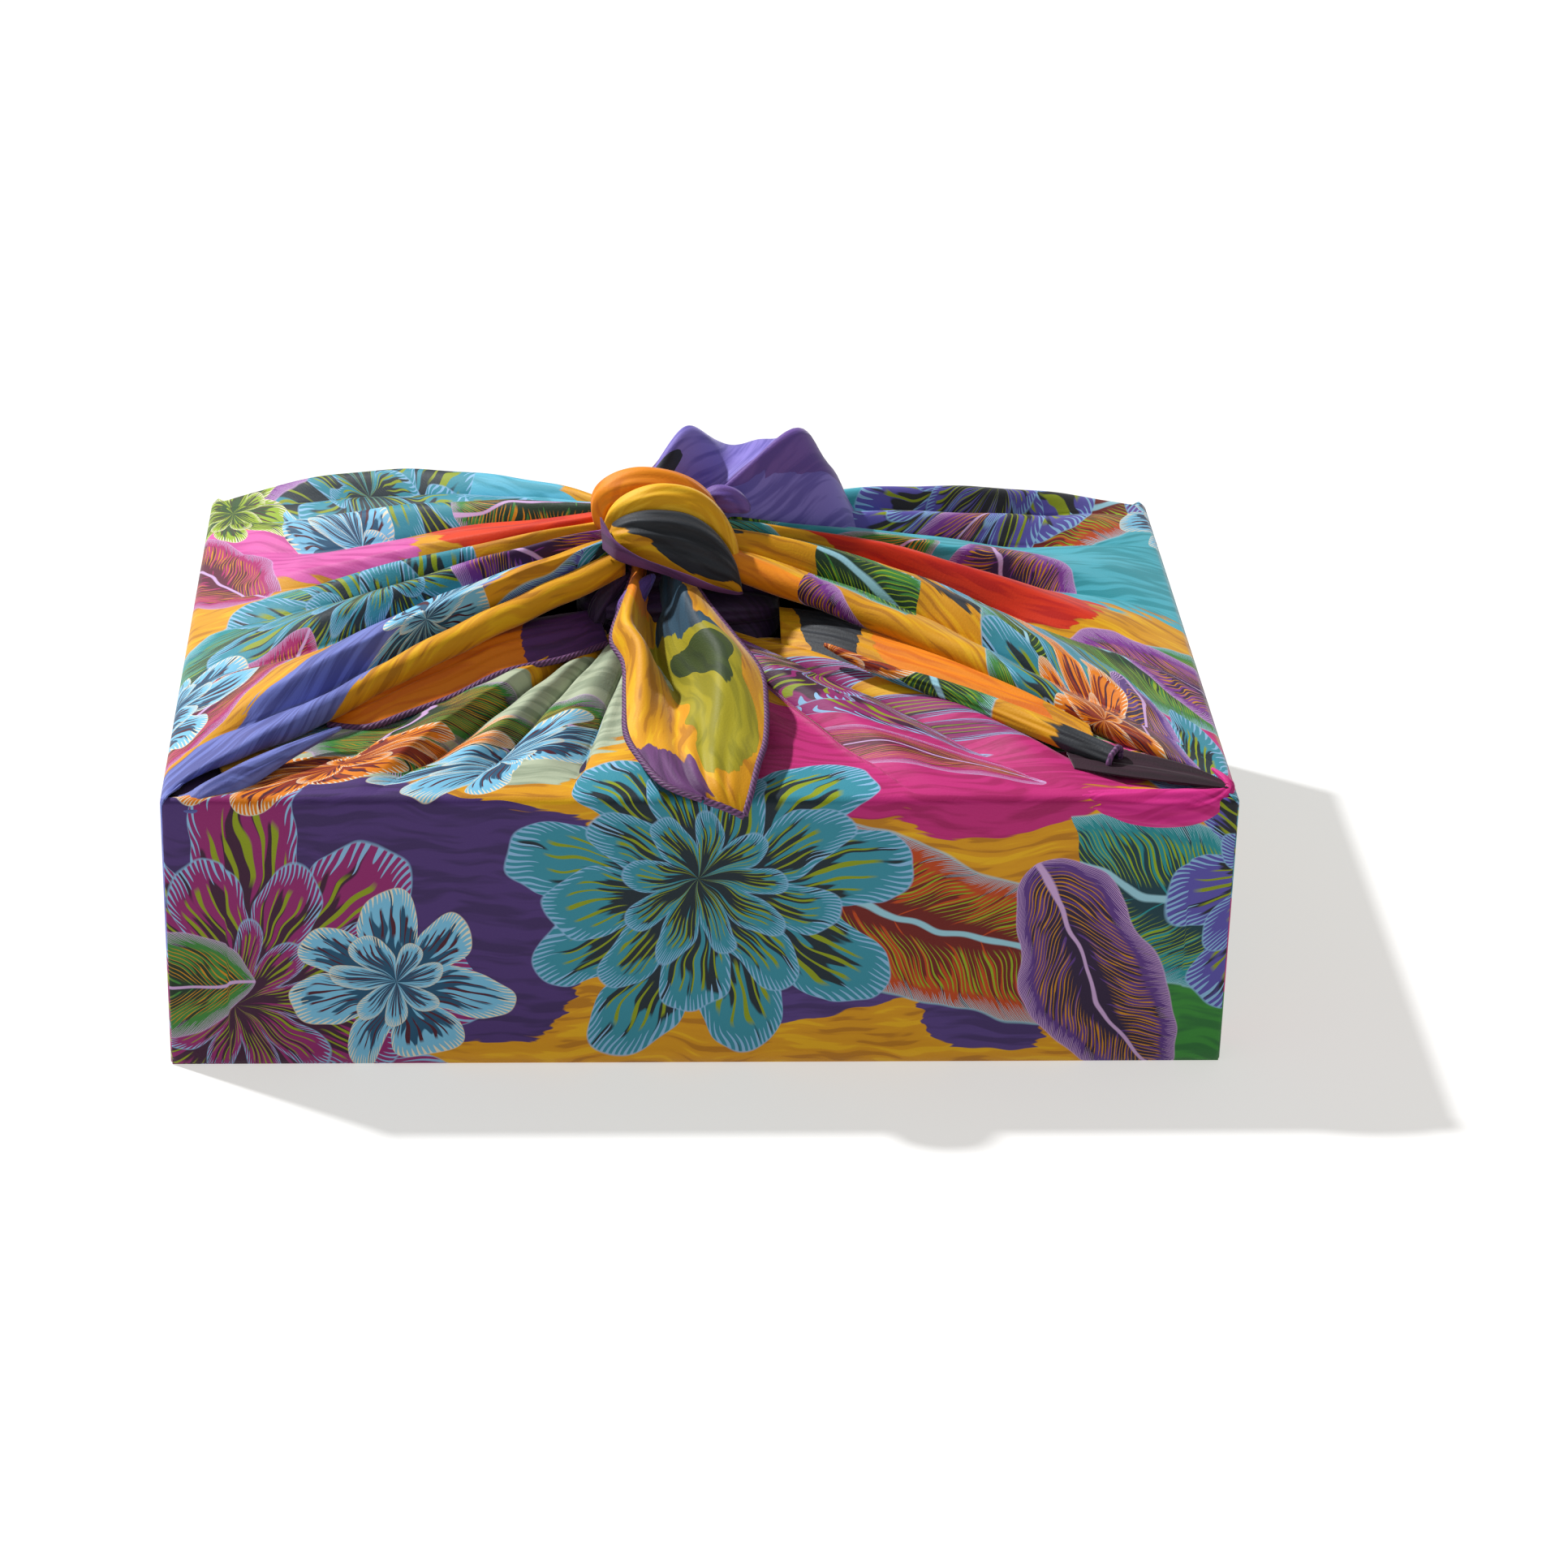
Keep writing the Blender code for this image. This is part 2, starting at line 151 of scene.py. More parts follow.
BACK_FOLDS = (
    Fold(-172, -140, 2.5, -60, 7.0, 1.0, 0.50),
    Fold(-146, -108, 6.0, -36, 10.0, 4.0, 0.45),
    Fold(-118, -76, 9.5, -30, 12.0, 7.0, 0.40),
    Fold(-74, -50, 7.0, -22, 13.0, 5.0, 0.45),
    Fold(-6, -10, 5.0, -12, 13.5, 3.5, 0.50),
    Fold(62, 32, 7.5, -2, 13.0, 6.0, 0.60),
    Fold(112, 70, 9.0, 8, 12.5, 6.5, 0.60),
    Fold(150, 110, 6.0, 20, 10.0, 2.0, 0.50),
    Fold(172, 140, 2.5, 54, 7.0, 0.0, 0.50),
)
LEFT_CREASES = (
    Crease(96, 52, 12, 1.6, 3.2, 0.30),
    Crease(60, 26, 8, 1.8, 3.0, 0.35),
    Crease(22, 3, 5, 1.5, 2.6, 0.30),
    Crease(-60, -36, -2, 1.6, 3.0, 0.25),
    Crease(-104, -55, -6, 1.2, 2.6, 0.30),
)
RIGHT_CREASES = (
    Crease(88, 44, 11, 1.5, 3.0, 0.30),
    Crease(70, 36, 9, -1.2, 3.4, 0.35),
    Crease(14, 16, 6, 1.8, 3.0, 0.30),
    Crease(-58, -4, 1, 1.6, 3.2, 0.25),
    Crease(-112, -32, -5, 1.2, 2.8, 0.30),
)
FRONT_CREASES = (
    Crease(-132, -92, -34, 1.4, 3.0, 0.20),
    Crease(-76, -52, -24, 1.6, 3.0, 0.15),
    Crease(-40, -31, -19, 1.4, 2.8, 0.20),
    Crease(10, 6, -6, -1.0, 5.0, 0.10),
    Crease(40, 22, -3, 1.6, 4.0, 0.12),
    Crease(112, 62, 8, 1.2, 3.0, 0.20),
)
BACK_CREASES = (
    Crease(-132, -90, -33, 1.2, 3.4, 0.20),
    Crease(-40, -28, -16, 1.3, 3.8, 0.20),
    Crease(28, 12, -6, 1.2, 4.0, 0.15),
    Crease(88, 52, 4, 1.2, 3.4, 0.20),
)
CREST_SHARES = (0.0, 0.14, 0.38, 0.70, 1.0)
FRONT_TAIL_SECTIONS = (
    Section((-22, 4, 138), (-2, 0, 138), 1.0, -3.0, 2.0),
    Section((-22, -10, 129), (-1, -12, 130), 3.0, -5.0, 4.0),
    Section((-25, -25, 125), (4, -29, 127), 5.5, -9.0, 5.5),
    Section((-29, -44, 120), (13, -47, 122), 7.0, -11.5, 7.0),
    Section((-25, -58, 117), (21, -66, 118), 7.0, -10.0, 8.0),
    Section((-25, -78, 113), (22, -86, 114), 4.5, -4.5, 6.5),
    Section((-25, -98, 110), (21, -104, 110), 1.5, -0.5, 4.0),
    Section((-21, -114, 109), (18, -118, 108), 1.0, 1.0, 3.0),
    Section((-13, -128, 106), (15, -131, 103), 0.5, 1.0, 2.0),
    Section((0, -134, 103), (13, -136, 98), 0.0, 0.3, 0.3),
)
BACK_TAIL_SECTIONS = (
    Section((-20, 4, 148), (6, 4, 142), 1.0, 1.0, 1.0),
    Section((-18, 16, 152), (30, 14, 134), 8.0, 0.0, 14.0),
    Section((-12, 28, 155), (58, 26, 124), 19.0, 12.0, 33.0),
    Section((-10, 44, 150), (66, 44, 118), 14.0, 19.0, 31.0),
    Section((-9, 62, 138), (66, 62, 113), 12.0, 14.0, 22.0),
    Section((-8, 82, 126), (62, 82, 110), 8.0, 8.0, 13.0),
    Section((2, 100, 118), (58, 102, 109), 4.0, 4.0, 6.0),
    Section((18, 116, 112), (50, 118, 108), 2.0, 2.0, 2.0),
    Section((34, 128, 108), (41, 130, 107), 0.0, 0.0, 0.0),
)
KNOT_BAND_SECTIONS = (
    Section((-29, -4, 145), (-31, -11, 142), 1.0, 1.5, 1.0),
    Section((-28, -6, 148), (-28, -17, 141), 3.5, 4.5, 3.5),
    Section((-23, -6, 151), (-20, -20, 140), 5.5, 6.5, 4.5),
    Section((-15, -6, 153), (-12, -22, 137), 6.0, 7.5, 4.0),
    Section((-4, -6, 152), (-3, -23, 134), 6.5, 7.5, 4.5),
    Section((4, -7, 148), (5, -22, 131), 6.5, 7.0, 5.5),
    Section((10, -9, 142), (12, -20, 128), 5.5, 6.0, 5.0),
    Section((14, -12, 136), (16, -18, 126), 3.0, 3.5, 2.5),
    Section((16, -14, 131), (17, -17, 125), 0.5, 0.5, 0.5),
)
KNOT_HEM_SECTIONS = (
    Section((-33, -10, 151), (-32, -12, 140), 0.5, 0.8, 0.5),
    Section((-28, -20, 147), (-27, -20, 139), 1.0, 1.5, 1.0),
    Section((-20, -25, 143), (-19, -24, 138), 0.8, 1.2, 0.8),
    Section((-11, -27, 140), (-10, -26, 136), 0.6, 0.9, 0.6),
    Section((-2, -28, 137), (-2, -27, 133), 0.6, 0.9, 0.6),
    Section((6, -27, 133), (7, -26, 130), 0.6, 0.8, 0.6),
    Section((13, -23, 129), (14, -22, 127), 0.4, 0.6, 0.4),
    Section((17, -18, 126), (17, -17, 125), 0.1, 0.1, 0.1),
)
# The lining of the fold that opens at the right front corner. Its near-black maroon is painted shade inside
# the fold.
POCKET_SECTIONS = (
    Section((122, -96, 105), (124, -112, 104.2), 0.2, 0.0, 0.2),
    Section((136, -99, 105.5), (138, -117, 104.0), 0.5, -0.5, 0.5),
    Section((150, -104, 105), (152, -120, 103.5), 0.5, -0.5, 0.5),
    Section((164, -111, 104), (165, -122, 102.8), 0.3, -0.3, 0.3),
    Section((174, -119, 102.4), (174.5, -123, 102), 0.1, 0.1, 0.1),
)
# The inner corner of the cloth that shows under the left tongue, with its hem to the front.
LEFT_INNER_SECTIONS = (
    Section((-122, -72, 109), (-125, -79, 104), 0.0, 0.2, 0.2),
    Section((-112, -62, 113), (-112, -83, 105), 1.0, 0.5, 1.0),
    Section((-98, -50, 116), (-99, -76, 106.5), 1.5, 1.0, 1.5),
    Section((-84, -40, 118), (-83, -66, 108.5), 1.0, 1.5, 1.0),
    Section((-68, -30, 119), (-66, -54, 112), 1.0, 2.0, 1.5),
    Section((-50, -22, 119), (-46, -43, 112), 1.0, 1.5, 1.0),
    Section((-34, -14, 118), (-30, -30, 112), 0.5, 0.5, 0.5),
)
RIGHT_INNER_SECTIONS = (
    Section((30, -12, 118), (30, -30, 112), 0.5, 0.5, 0.5),
    Section((48, -20, 119), (50, -46, 112), 1.0, 2.0, 1.5),
    Section((66, -30, 117), (70, -62, 110), 1.0, 2.0, 1.0),
    Section((88, -42, 115), (92, -76, 107), 1.0, 1.5, 1.0),
    Section((112, -58, 111), (116, -90, 104.5), 0.5, 1.0, 0.5),
    Section((132, -78, 106), (134, -100, 103), 0.1, 0.2, 0.1),
)
# Rolls of cloth, each a row of places along its middle with its radius, in millimetres.
CROWN_ROLL = (
    (-28, 0, 140, 4.0),
    (-31, 1, 146, 5.5),
    (-29, 3, 153, 7.0),
    (-20, 4, 156.0, 7.6),
    (-9, 4, 154.5, 7.8),
    (0, 3, 150, 7.5),
    (6, 1, 143, 6.5),
    (10, -2, 135, 5.0),
)
CROWN_FOLD = (
    (-29, -4, 141, 2.6),
    (-28.5, -5, 147, 4.0),
    (-23, -5, 152.5, 5.0),
    (-13, -5, 155.6, 5.6),
    (-3, -5, 154.2, 5.8),
    (5, -6, 149.2, 5.4),
    (11.5, -8, 141.5, 4.4),
    (15, -10, 133, 3.0),
)
CROWN_KNOB = (
    (2, 10, 148, 3.5),
    (8, 9, 150.5, 4.8),
    (14, 8, 149.5, 4.6),
    (20, 9, 146, 3.0),
)
RIGHT_ROLL = (
    (44, -46, 119, 2.5),
    (62, -59, 116, 3.4),
    (91, -73, 111.5, 4.0),
    (121, -95, 107.6, 4.0),
    (138, -108, 105.6, 3.7),
)
# The slack that hangs over the front edge of the box at its two corners.
RIGHT_LIP = (
    (106, -121, 99.8, 1.0),
    (120, -122.6, 98.0, 3.4),
    (135, -123.4, 96.6, 5.2),
    (150, -123.8, 95.2, 6.4),
    (162, -123.6, 95.4, 6.2),
    (171, -122.6, 98.0, 4.4),
    (175, -120.0, 101.6, 2.4),
    (170, -113.0, 104.4, 1.6),
)
LEFT_LIP = (
    (-176.6, -125.0, 99.4, 1.2),
    (-172.5, -123.6, 96.4, 4.0),
    (-166, -122.4, 96.2, 5.0),
    (-158, -119.0, 99.6, 4.8),
    (-148, -113.0, 103.4, 4.0),
    (-136, -104.0, 106.4, 3.2),
    (-120, -93.0, 109.6, 2.2),
)
LEFT_GATHERS = (
    (-14, -16, 132, 2.5),
    (-21, -22, 126, 4.2),
    (-24, -25, 119, 3.8),
    (-23, -27, 112, 2.2),
)
FAR_LEFT_GATHERS = (
    (-22, -10, 130, 2.5),
    (-31, -16, 123, 4.0),
    (-34, -19, 115, 3.4),
    (-33, -20, 109, 2.0),
)


class Side(Enum):
    """A side of the box, with the direction in which it faces."""

    LEFT = (-1, 0)
    RIGHT = (1, 0)
    FRONT = (0, -1)
    BACK = (0, 1)


# Numbers, grids and meshes.


def linear(colour: str) -> tuple[float, float, float, float]:
    """Turn an sRGB hex colour to linear light.

    Args:
        colour: Six hex digits after a hash.

    Returns:
        Red, green, blue and an alpha of 1.
    """
    parts = (int(colour[k : k + 2], 16) / 255 for k in (1, 3, 5))
    red, green, blue = (c / 12.92 if c <= 0.04045 else ((c + 0.055) / 1.055) ** 2.4 for c in parts)
    return red, green, blue, 1.0


def smoothstep(low: float, high: float, value: Array) -> Array:
    """Ease from 0 at low to 1 at high.

    Args:
        low: Where it is still 0.
        high: Where it is 1.
        value: The numbers to ease.

    Returns:
        3t^2 - 2t^3 of the share t that each number has between low and high.
    """
    share = np.clip((np.asarray(value, float) - low) / (high - low), 0.0, 1.0)
    return share * share * (3.0 - 2.0 * share)


def through(start: Array, middle: Array, end: Array, share: Array) -> Array:
    """Quadratic that passes start at 0, middle at 0.5 and end at 1.

    Args:
        start: The value at 0.
        middle: The value at 0.5.
        end: The value at 1.
        share: Where it is read.

    Returns:
        The values there, shaped as the arguments broadcast.
    """
    return (
        start * (1.0 - share) * (1.0 - 2.0 * share)
        + 4.0 * middle * share * (1.0 - share)
        + end * share * (2.0 * share - 1.0)
    )


def smooth_rows(rows: Array, count: int) -> Array:
    """Draw a smooth curve through rows of points, as Catmull and Rom do it.

    Args:
        rows: Points, with one row for each station, shaped (stations, ...).
        count: How many rows the result has.

    Returns:
        The curve's rows, shaped (count, ...), the first and last as given.
    """
    place = np.linspace(0.0, len(rows) - 1.0, count)
    at = np.clip(place.astype(int), 0, len(rows) - 2)
    t = (place - at).reshape((-1,) + (1,) * (rows.ndim - 1))
    before, after = rows[np.maximum(at - 1, 0)], rows[np.minimum(at + 2, len(rows) - 1)]
    here, there = rows[at], rows[at + 1]
    return 0.5 * (
        2.0 * here
        + (there - before) * t
        + (2.0 * before - 5.0 * here + 4.0 * there - after) * t**2
        + (3.0 * here - before - 3.0 * there + after) * t**3
    )


def run_length(points: Array, axis: int) -> Array:
    """Length along a grid of points from its first row or column.

    Args:
        points: Points shaped (rows, columns, 3).
        axis: 0 to run from row to row, 1 from column to column.

    Returns:
        The summed chord length at each point, shaped (rows, columns).
    """
    steps = np.linalg.norm(np.diff(points, axis=axis), axis=2)
    first = np.zeros_like(points[:1, :, 0] if axis == 0 else points[:, :1, 0])
    return np.concatenate([first, np.cumsum(steps, axis=axis)], axis=axis)


def sheet_object(
    name: str, points: Array, flat: Array, outward: bool, closed: bool = False
) -> bpy.types.Object:
    """Make a mesh object from a grid of points.

    Args:
        name: The piece's name.
        points: World points shaped (rows, columns, 3).
        flat: UV places shaped (rows, columns, 2), in metres on the flat cloth.
        outward: Whether rows cross columns faces the outside. If not, the faces are turned.
        closed: Whether the last column is joined to the first, with a face over each end.

    Returns:
        The object, smooth shaded and at the origin.
    """
    rows, columns = points.shape[:2]
    kept = columns - 1 if closed else columns
    index = np.arange(rows * columns).reshape(rows, columns)
    vertex = (np.arange(rows)[:, None] * kept + np.arange(columns) % kept).ravel()
    corners = (index[:-1, :-1], index[:-1, 1:], index[1:, 1:], index[1:, :-1])
    quads = np.stack(corners, axis=-1).reshape(-1, 4)
    ends = [index[0, -2::-1], index[-1, :-1]] if closed else []
    if not outward:
        quads = quads[:, ::-1]
        ends = [end[::-1] for end in ends]
    faces = vertex[quads].tolist() + [vertex[end].tolist() for end in ends]
    mesh = bpy.data.meshes.new(name)
    mesh.from_pydata(points[:, :kept].reshape(-1, 3), [], faces, shade_flat=False)
    layer = mesh.uv_layers.new(name="flat_cloth")
    loops = np.concatenate([quads.ravel(), *ends])
    layer.data.foreach_set("uv", flat.reshape(-1, 2)[loops].astype(np.float32).ravel())
    made = bpy.data.objects.new(name, mesh)
    bpy.context.scene.collection.objects.link(made)
    return made


def thicken(sheet: bpy.types.Object, thickness: float) -> bpy.types.Object:
    """Give an open sheet its thickness, inwards from its outer face.

    Args:
        sheet: The open sheet.
        thickness: How thick it becomes.

    Returns:
        The same sheet.
    """
    solidify = sheet.modifiers.new("thickness", "SOLIDIFY")
    solidify.thickness = thickness
    solidify.offset = -1.0
    return sheet


def tube_grid(path: Array, radius: Array, sides: int, up: Array) -> Array:
    """Carry a round profile along a path.

    Each ring stands across the path's direction. Its first axis is the part of up that is
    square to that direction, and its second is square to both.

    Args:
        path: Points along the middle, shaped (count, 3).
        radius: The radius at each point.
        sides: How many sides the profile has.
        up: A direction that the path never follows.

    Returns:
        Points shaped (count, sides + 1, 3), the last column on the first.
    """
    along = np.gradient(path, axis=0)
    along /= np.linalg.norm(along, axis=1, keepdims=True)
    first = up - along * (along @ up)[:, None]
    first /= np.linalg.norm(first, axis=1, keepdims=True)
    second = np.cross(along, first)
    angle = np.linspace(0.0, 2.0 * math.pi, sides + 1)
    spread = np.cos(angle)[None, :, None] * first[:, None] + np.sin(angle)[None, :, None] * second[:, None]
    return path[:, None] + np.asarray(radius).reshape(-1, 1, 1) * spread


# Finishes.


def add_node(
    tree: bpy.types.NodeTree,
    kind: str,
    inputs: Sequence[Any] | Mapping[Any, Any] = (),
    stops: Sequence[tuple[float, str]] = (),
    **settings: Any,
) -> bpy.types.Node:
    """Add a node with its settings and links.

    Args:
        tree: The node tree.
        kind: The node's type.
        inputs: What goes in, in the order of the sockets or by their names or numbers. A node
            gives its first output, a socket is linked, and a number or colour is set.
        stops: Places and hex colours of a colour ramp.
        **settings: The node's own properties.

    Returns:
        The node.
    """
    node = tree.nodes.new(kind)
    for name, value in settings.items():
        setattr(node, name, value)
    for place, (where, colour) in enumerate(stops):
        ramp = node.color_ramp.elements
        stop = ramp[place] if place < len(ramp) else ramp.new(where)
        stop.position = where
        stop.color = linear(colour)
    pairs = inputs.items() if isinstance(inputs, Mapping) else enumerate(inputs)
    for socket, given in pairs:
        source = given.outputs[0] if isinstance(given, bpy.types.Node) else given
        if isinstance(source, bpy.types.NodeSocket):
            tree.links.new(source, node.inputs[socket])
        elif source is not None:
            node.inputs[socket].default_value = source
    return node


def new_material(name: str) -> tuple[bpy.types.Material, bpy.types.NodeTree, bpy.types.Node]:
    """Make a material with a Principled shader.

    Args:
        name: The real material's name.

    Returns:
        The material, its node tree and its shader.
    """
    material = bpy.data.materials.new(name)
    material.use_nodes = True
    return material, material.node_tree, material.node_tree.nodes["Principled BSDF"]


class MotifKind(Enum):
    """What a layer of the print draws."""

    BLOSSOM = "blossom"
    LEAF = "leaf"


@dataclass(frozen=True)
class Motif:
    """One layer of the print: the same motif scattered over the cloth.

    spacing is the distance between motifs in metres and reach a motif's share of it. petals
    counts the petals of a blossom or the veins of a leaf, and rings the blossom's rings. depth is
    how deep its petals are parted, or how broad a leaf is. thinned is the share of motifs left
    out. tips and hearts are the inks at the rim and inside, chosen together by chance.
    """

    kind: MotifKind
    spacing: float
    reach: float
    petals: int
    rings: int
    depth: float
    thinned: float
    shift: tuple[float, float]
    tips: tuple[str, ...]
    hearts: tuple[str, ...]
    line: str
    strokes: str


@dataclass(frozen=True)
class Field:
    """A broad field of colour: its two tones, and its middle and half sizes on the flat cloth."""

    dark: str
    light: str
    middle: tuple[float, float]
    half: tuple[float, float]


GARDEN = (
    Motif(
        MotifKind.LEAF, 0.150, 0.56, 24, 1, 0.34, 0.42, (3.1, 7.7),
        ("#2E8C92", "#3F7F3A", "#5B5FA8", "#B9481E"),
        ("#123A44", "#17351F", "#1B1D33", "#6C1F1A"), "#9CCAD8", "#8FA82C",
    ),
    Motif(
        MotifKind.BLOSSOM, 0.165, 0.53, 9, 3, 0.42, 0.25, (2.145, 5.37),
        ("#5E57A6", "#8E2C6A", "#3E8C9E", "#6A4C9C"),
        ("#1E2026", "#3A1030", "#15252E", "#2E1838"), "#8FB9DC", "#8C9A1E",
    ),
    Motif(
        MotifKind.LEAF, 0.104, 0.49, 16, 1, 0.50, 0.28, (8.2, 2.9),
        ("#5B3A80", "#A8306C", "#3E7F3A", "#7A3A8C"),
        ("#2A1638", "#5A1230", "#16301A", "#341440"), "#C9A6D2", "#C98A2C",
    ),
    Motif(
        MotifKind.BLOSSOM, 0.090, 0.38, 7, 2, 0.40, 0.80, (5.3, 9.3),
        ("#7FBEDD", "#CF4F8C", "#93AE34", "#E2863A"),
        ("#22506E", "#5E1540", "#2E4E22", "#8C2F16"), "#E6DCC4", "#4A1426",
    ),
)
FIELDS = (
    Field("#17787E", "#55AEBE", (0.37, 0.13), (0.17, 0.15)),
    Field("#1E7F8E", "#67B7D0", (-0.33, 0.18), (0.14, 0.07)),
    Field("#A8327C", "#DB6AAE", (-0.28, 0.07), (0.09, 0.032)),
    Field("#B02424", "#DE4A30", (-0.42, 0.11), (0.06, 0.055)),
    Field("#9C1F58", "#C93A80", (-0.37, -0.04), (0.09, 0.020)),
    Field("#38346E", "#7680C4", (-0.30, -0.15), (0.12, 0.045)),
    Field("#A3202A", "#D8402E", (0.38, -0.02), (0.08, 0.020)),
    Field("#CE5A10", "#F08C24", (0.41, -0.07), (0.10, 0.026)),
    Field("#9C1F58", "#CB3C82", (0.25, -0.13), (0.08, 0.045)),
    Field("#2A1A44", "#4C3470", (-0.12, -0.19), (0.10, 0.055)),
    Field("#74836C", "#B4BEA4", (-0.13, -0.29), (0.12, 0.042)),
    Field("#8E1D4C", "#C03A7A", (0.10, -0.27), (0.12, 0.055)),
    Field("#2C1B46", "#55407E", (0.05, -0.16), (0.06, 0.026)),
    Field("#1C5432", "#3E8A3C", (0.17, -0.15), (0.03, 0.030)),
    Field("#8E1D4C", "#BF3E7C", (-0.11, 0.18), (0.06, 0.050)),
    Field("#2B2244", "#5B4C9C", (-0.02, 0.31), (0.22, 0.050)),
    Field("#4B4396", "#8A7ECB", (0.56, 0.12), (0.140, 0.090)),
    Field("#503F86", "#7459A0", (0.545, 0.140), (0.050, 0.012)),
    Field("#14161A", "#2A3040", (0.500, 0.098), (0.014, 0.005)),
    Field("#15202A", "#2E4C60", (0.515, -0.040), (0.032, 0.012)),
    Field("#77741C", "#A3982E", (0.560, -0.046), (0.048, 0.018)),
    Field("#22301C", "#39481E", (0.548, -0.040), (0.018, 0.007)),
    Field("#14161A", "#2C3036", (0.505, -0.164), (0.100, 0.026)),
    Field("#D08C18", "#F2BE48", (0.530, -0.410), (0.090, 0.036)),
    Field("#CE6A14", "#F0902A", (0.51, -0.240), (0.060, 0.016)),
    Field("#CE5A10", "#E8842A", (0.63, -0.20), (0.050, 0.040)),
    Field("#2C1838", "#55306A", (0.70, -0.20), (0.030, 0.050)),
    Field("#3E2246", "#6B4172", (0.65, -0.08), (0.060, 0.030)),
    Field("#A31F5C", "#D84490", (0.66, 0.04), (0.080, 0.040)),
    Field("#14161A", "#2C3036", (0.62, -0.35), (0.016, 0.040)),
    Field("#CE5A10", "#F08C24", (0.67, -0.36), (0.030, 0.030)),
    # Dark purple of the print under the knot, deepened to near black as painted shade. The lower knot, its
    # far gathers and the tucked inner layers read it.
    Field("#120D18", "#3A2648", (0.56, 0.36), (0.200, 0.130)),
    # Near-black maroon, painted shade inside the fold that opens at the right front corner. The pocket's
    # lining reads it.
    Field("#14070F", "#2C1020", (0.745, 0.33), (0.050, 0.030)),
)
# No motif is drawn beyond this place on the flat cloth. The wound and knotted ends lie there.
PLAIN_FROM = 0.455


@dataclass(frozen=True)
class PrintedCrepe:
    """Polyester crepe, woven fine and printed from edge to edge.

    The eye sees a soft satin sheen along the folds, saturated inks laid on in brush strokes, and
    close to a fine pebbled grain. The print is a generic garden of blossoms, leaves and buds in
    layers over a mustard ground.
    """

    roughness: float = 0.60
    sheen: float = 0.22
    grain: float = 0.0007
    depth: float = 0.88
    brush_slant: float = 0.6
    brush_scale: tuple[float, float] = (34.0, 270.0)
    push: float = 0.06
    scatter_chance: float = 0.60

    def build(self) -> bpy.types.Material:
        """Make the material.

        Returns:
            The printed crepe, which reads the flat cloth's UV map.
        """
        material, tree, shader = new_material("printed polyester crepe")
        flat = add_node(tree, "ShaderNodeUVMap", uv_map="flat_cloth")
        wobble = add_node(
            tree, "ShaderNodeTexNoise", {"Vector": flat, "Scale": 22.0, "Detail": 2.0}, noise_dimensions="2D"
        )
        lifted = add_node(
            tree, "ShaderNodeVectorMath", (wobble.outputs["Color"], (0.018,) * 3, (-0.009, -0.009, 0.0)),
            operation="MULTIPLY_ADD",
        )
        place = add_node(tree, "ShaderNodeVectorMath", (flat, lifted), operation="ADD")
        colour = self.ground(tree, place)
        along = add_node(tree, "ShaderNodeSeparateXYZ", (place,))
        printed = add_node(tree, "ShaderNodeMath", (along, PLAIN_FROM), operation="LESS_THAN")
        for motif in GARDEN:
            colour = self.scatter(tree, (place, printed), colour, motif)
        dyed = add_node(
            tree, "ShaderNodeHueSaturation", {"Color": colour, "Saturation": 1.06, "Value": self.depth}
        )
        tree.links.new(dyed.outputs[0], shader.inputs["Base Color"])
        self.weave(tree, flat, shader)
        return material

    def ground(self, tree: bpy.types.NodeTree, place: bpy.types.Node) -> bpy.types.NodeSocket:
        """Lay broad fields of colour over mustard, all in slanting brush strokes.

        The strokes are a noise drawn out eight times along the way the brush went. A field is an
        ellipse whose rim a slow noise pushes about and the strokes fray.

        Args:
            tree: The node tree.
            place: The place on the flat cloth.

        Returns:
            The colour.
        """
        slant, drawn = (0.0, 0.0, self.brush_slant), (*self.brush_scale, 1.0)
        swept = add_node(tree, "ShaderNodeMapping", {"Vector": place, "Rotation": slant, "Scale": drawn})
        brush = add_node(
            tree, "ShaderNodeTexNoise", {"Vector": swept, "Scale": 1.0, "Detail": 2.0}, noise_dimensions="2D"
        )
        stroke = add_node(
            tree, "ShaderNodeMapRange",
            {"Value": brush, "From Min": 0.40, "From Max": 0.56, "To Min": 0.45},
        )
        colour = add_node(
            tree, "ShaderNodeValToRGB", (brush,),
            ((0.36, "#B97A12"), (0.42, "#D6951C"), (0.58, "#DB9C20"), (0.64, "#E6B036")),
        ).outputs[0]
        cloud = add_node(
            tree, "ShaderNodeTexNoise", {"Vector": place, "Scale": 16.0, "Detail": 1.0}, noise_dimensions="2D"
        )
        pushed = add_node(
            tree, "ShaderNodeVectorMath", (cloud.outputs["Color"], (self.push,) * 3, place),
            operation="MULTIPLY_ADD",
        )
        for ink in FIELDS:
            middle = (ink.middle[0] + self.push / 2, ink.middle[1] + self.push / 2)
            far = self.distance(tree, pushed, middle, ink.half)
            frayed = add_node(tree, "ShaderNodeMath", (brush, -0.30, far), operation="MULTIPLY_ADD")
            cover = add_node(
                tree, "ShaderNodeMapRange",
                {"Value": frayed, "From Min": 0.84, "From Max": 0.86, "To Min": 1.0, "To Max": 0.0},
            )
            lit = add_node(tree, "ShaderNodeMath", (cover, stroke), operation="MULTIPLY")
            shade = add_node(
                tree, "ShaderNodeMix", {0: cover, 6: colour, 7: linear(ink.dark)}, data_type="RGBA"
            )
            mixed = add_node(
                tree, "ShaderNodeMix", {0: lit, 6: shade.outputs[2], 7: linear(ink.light)}, data_type="RGBA"
            )
            colour = mixed.outputs[2]
        return colour

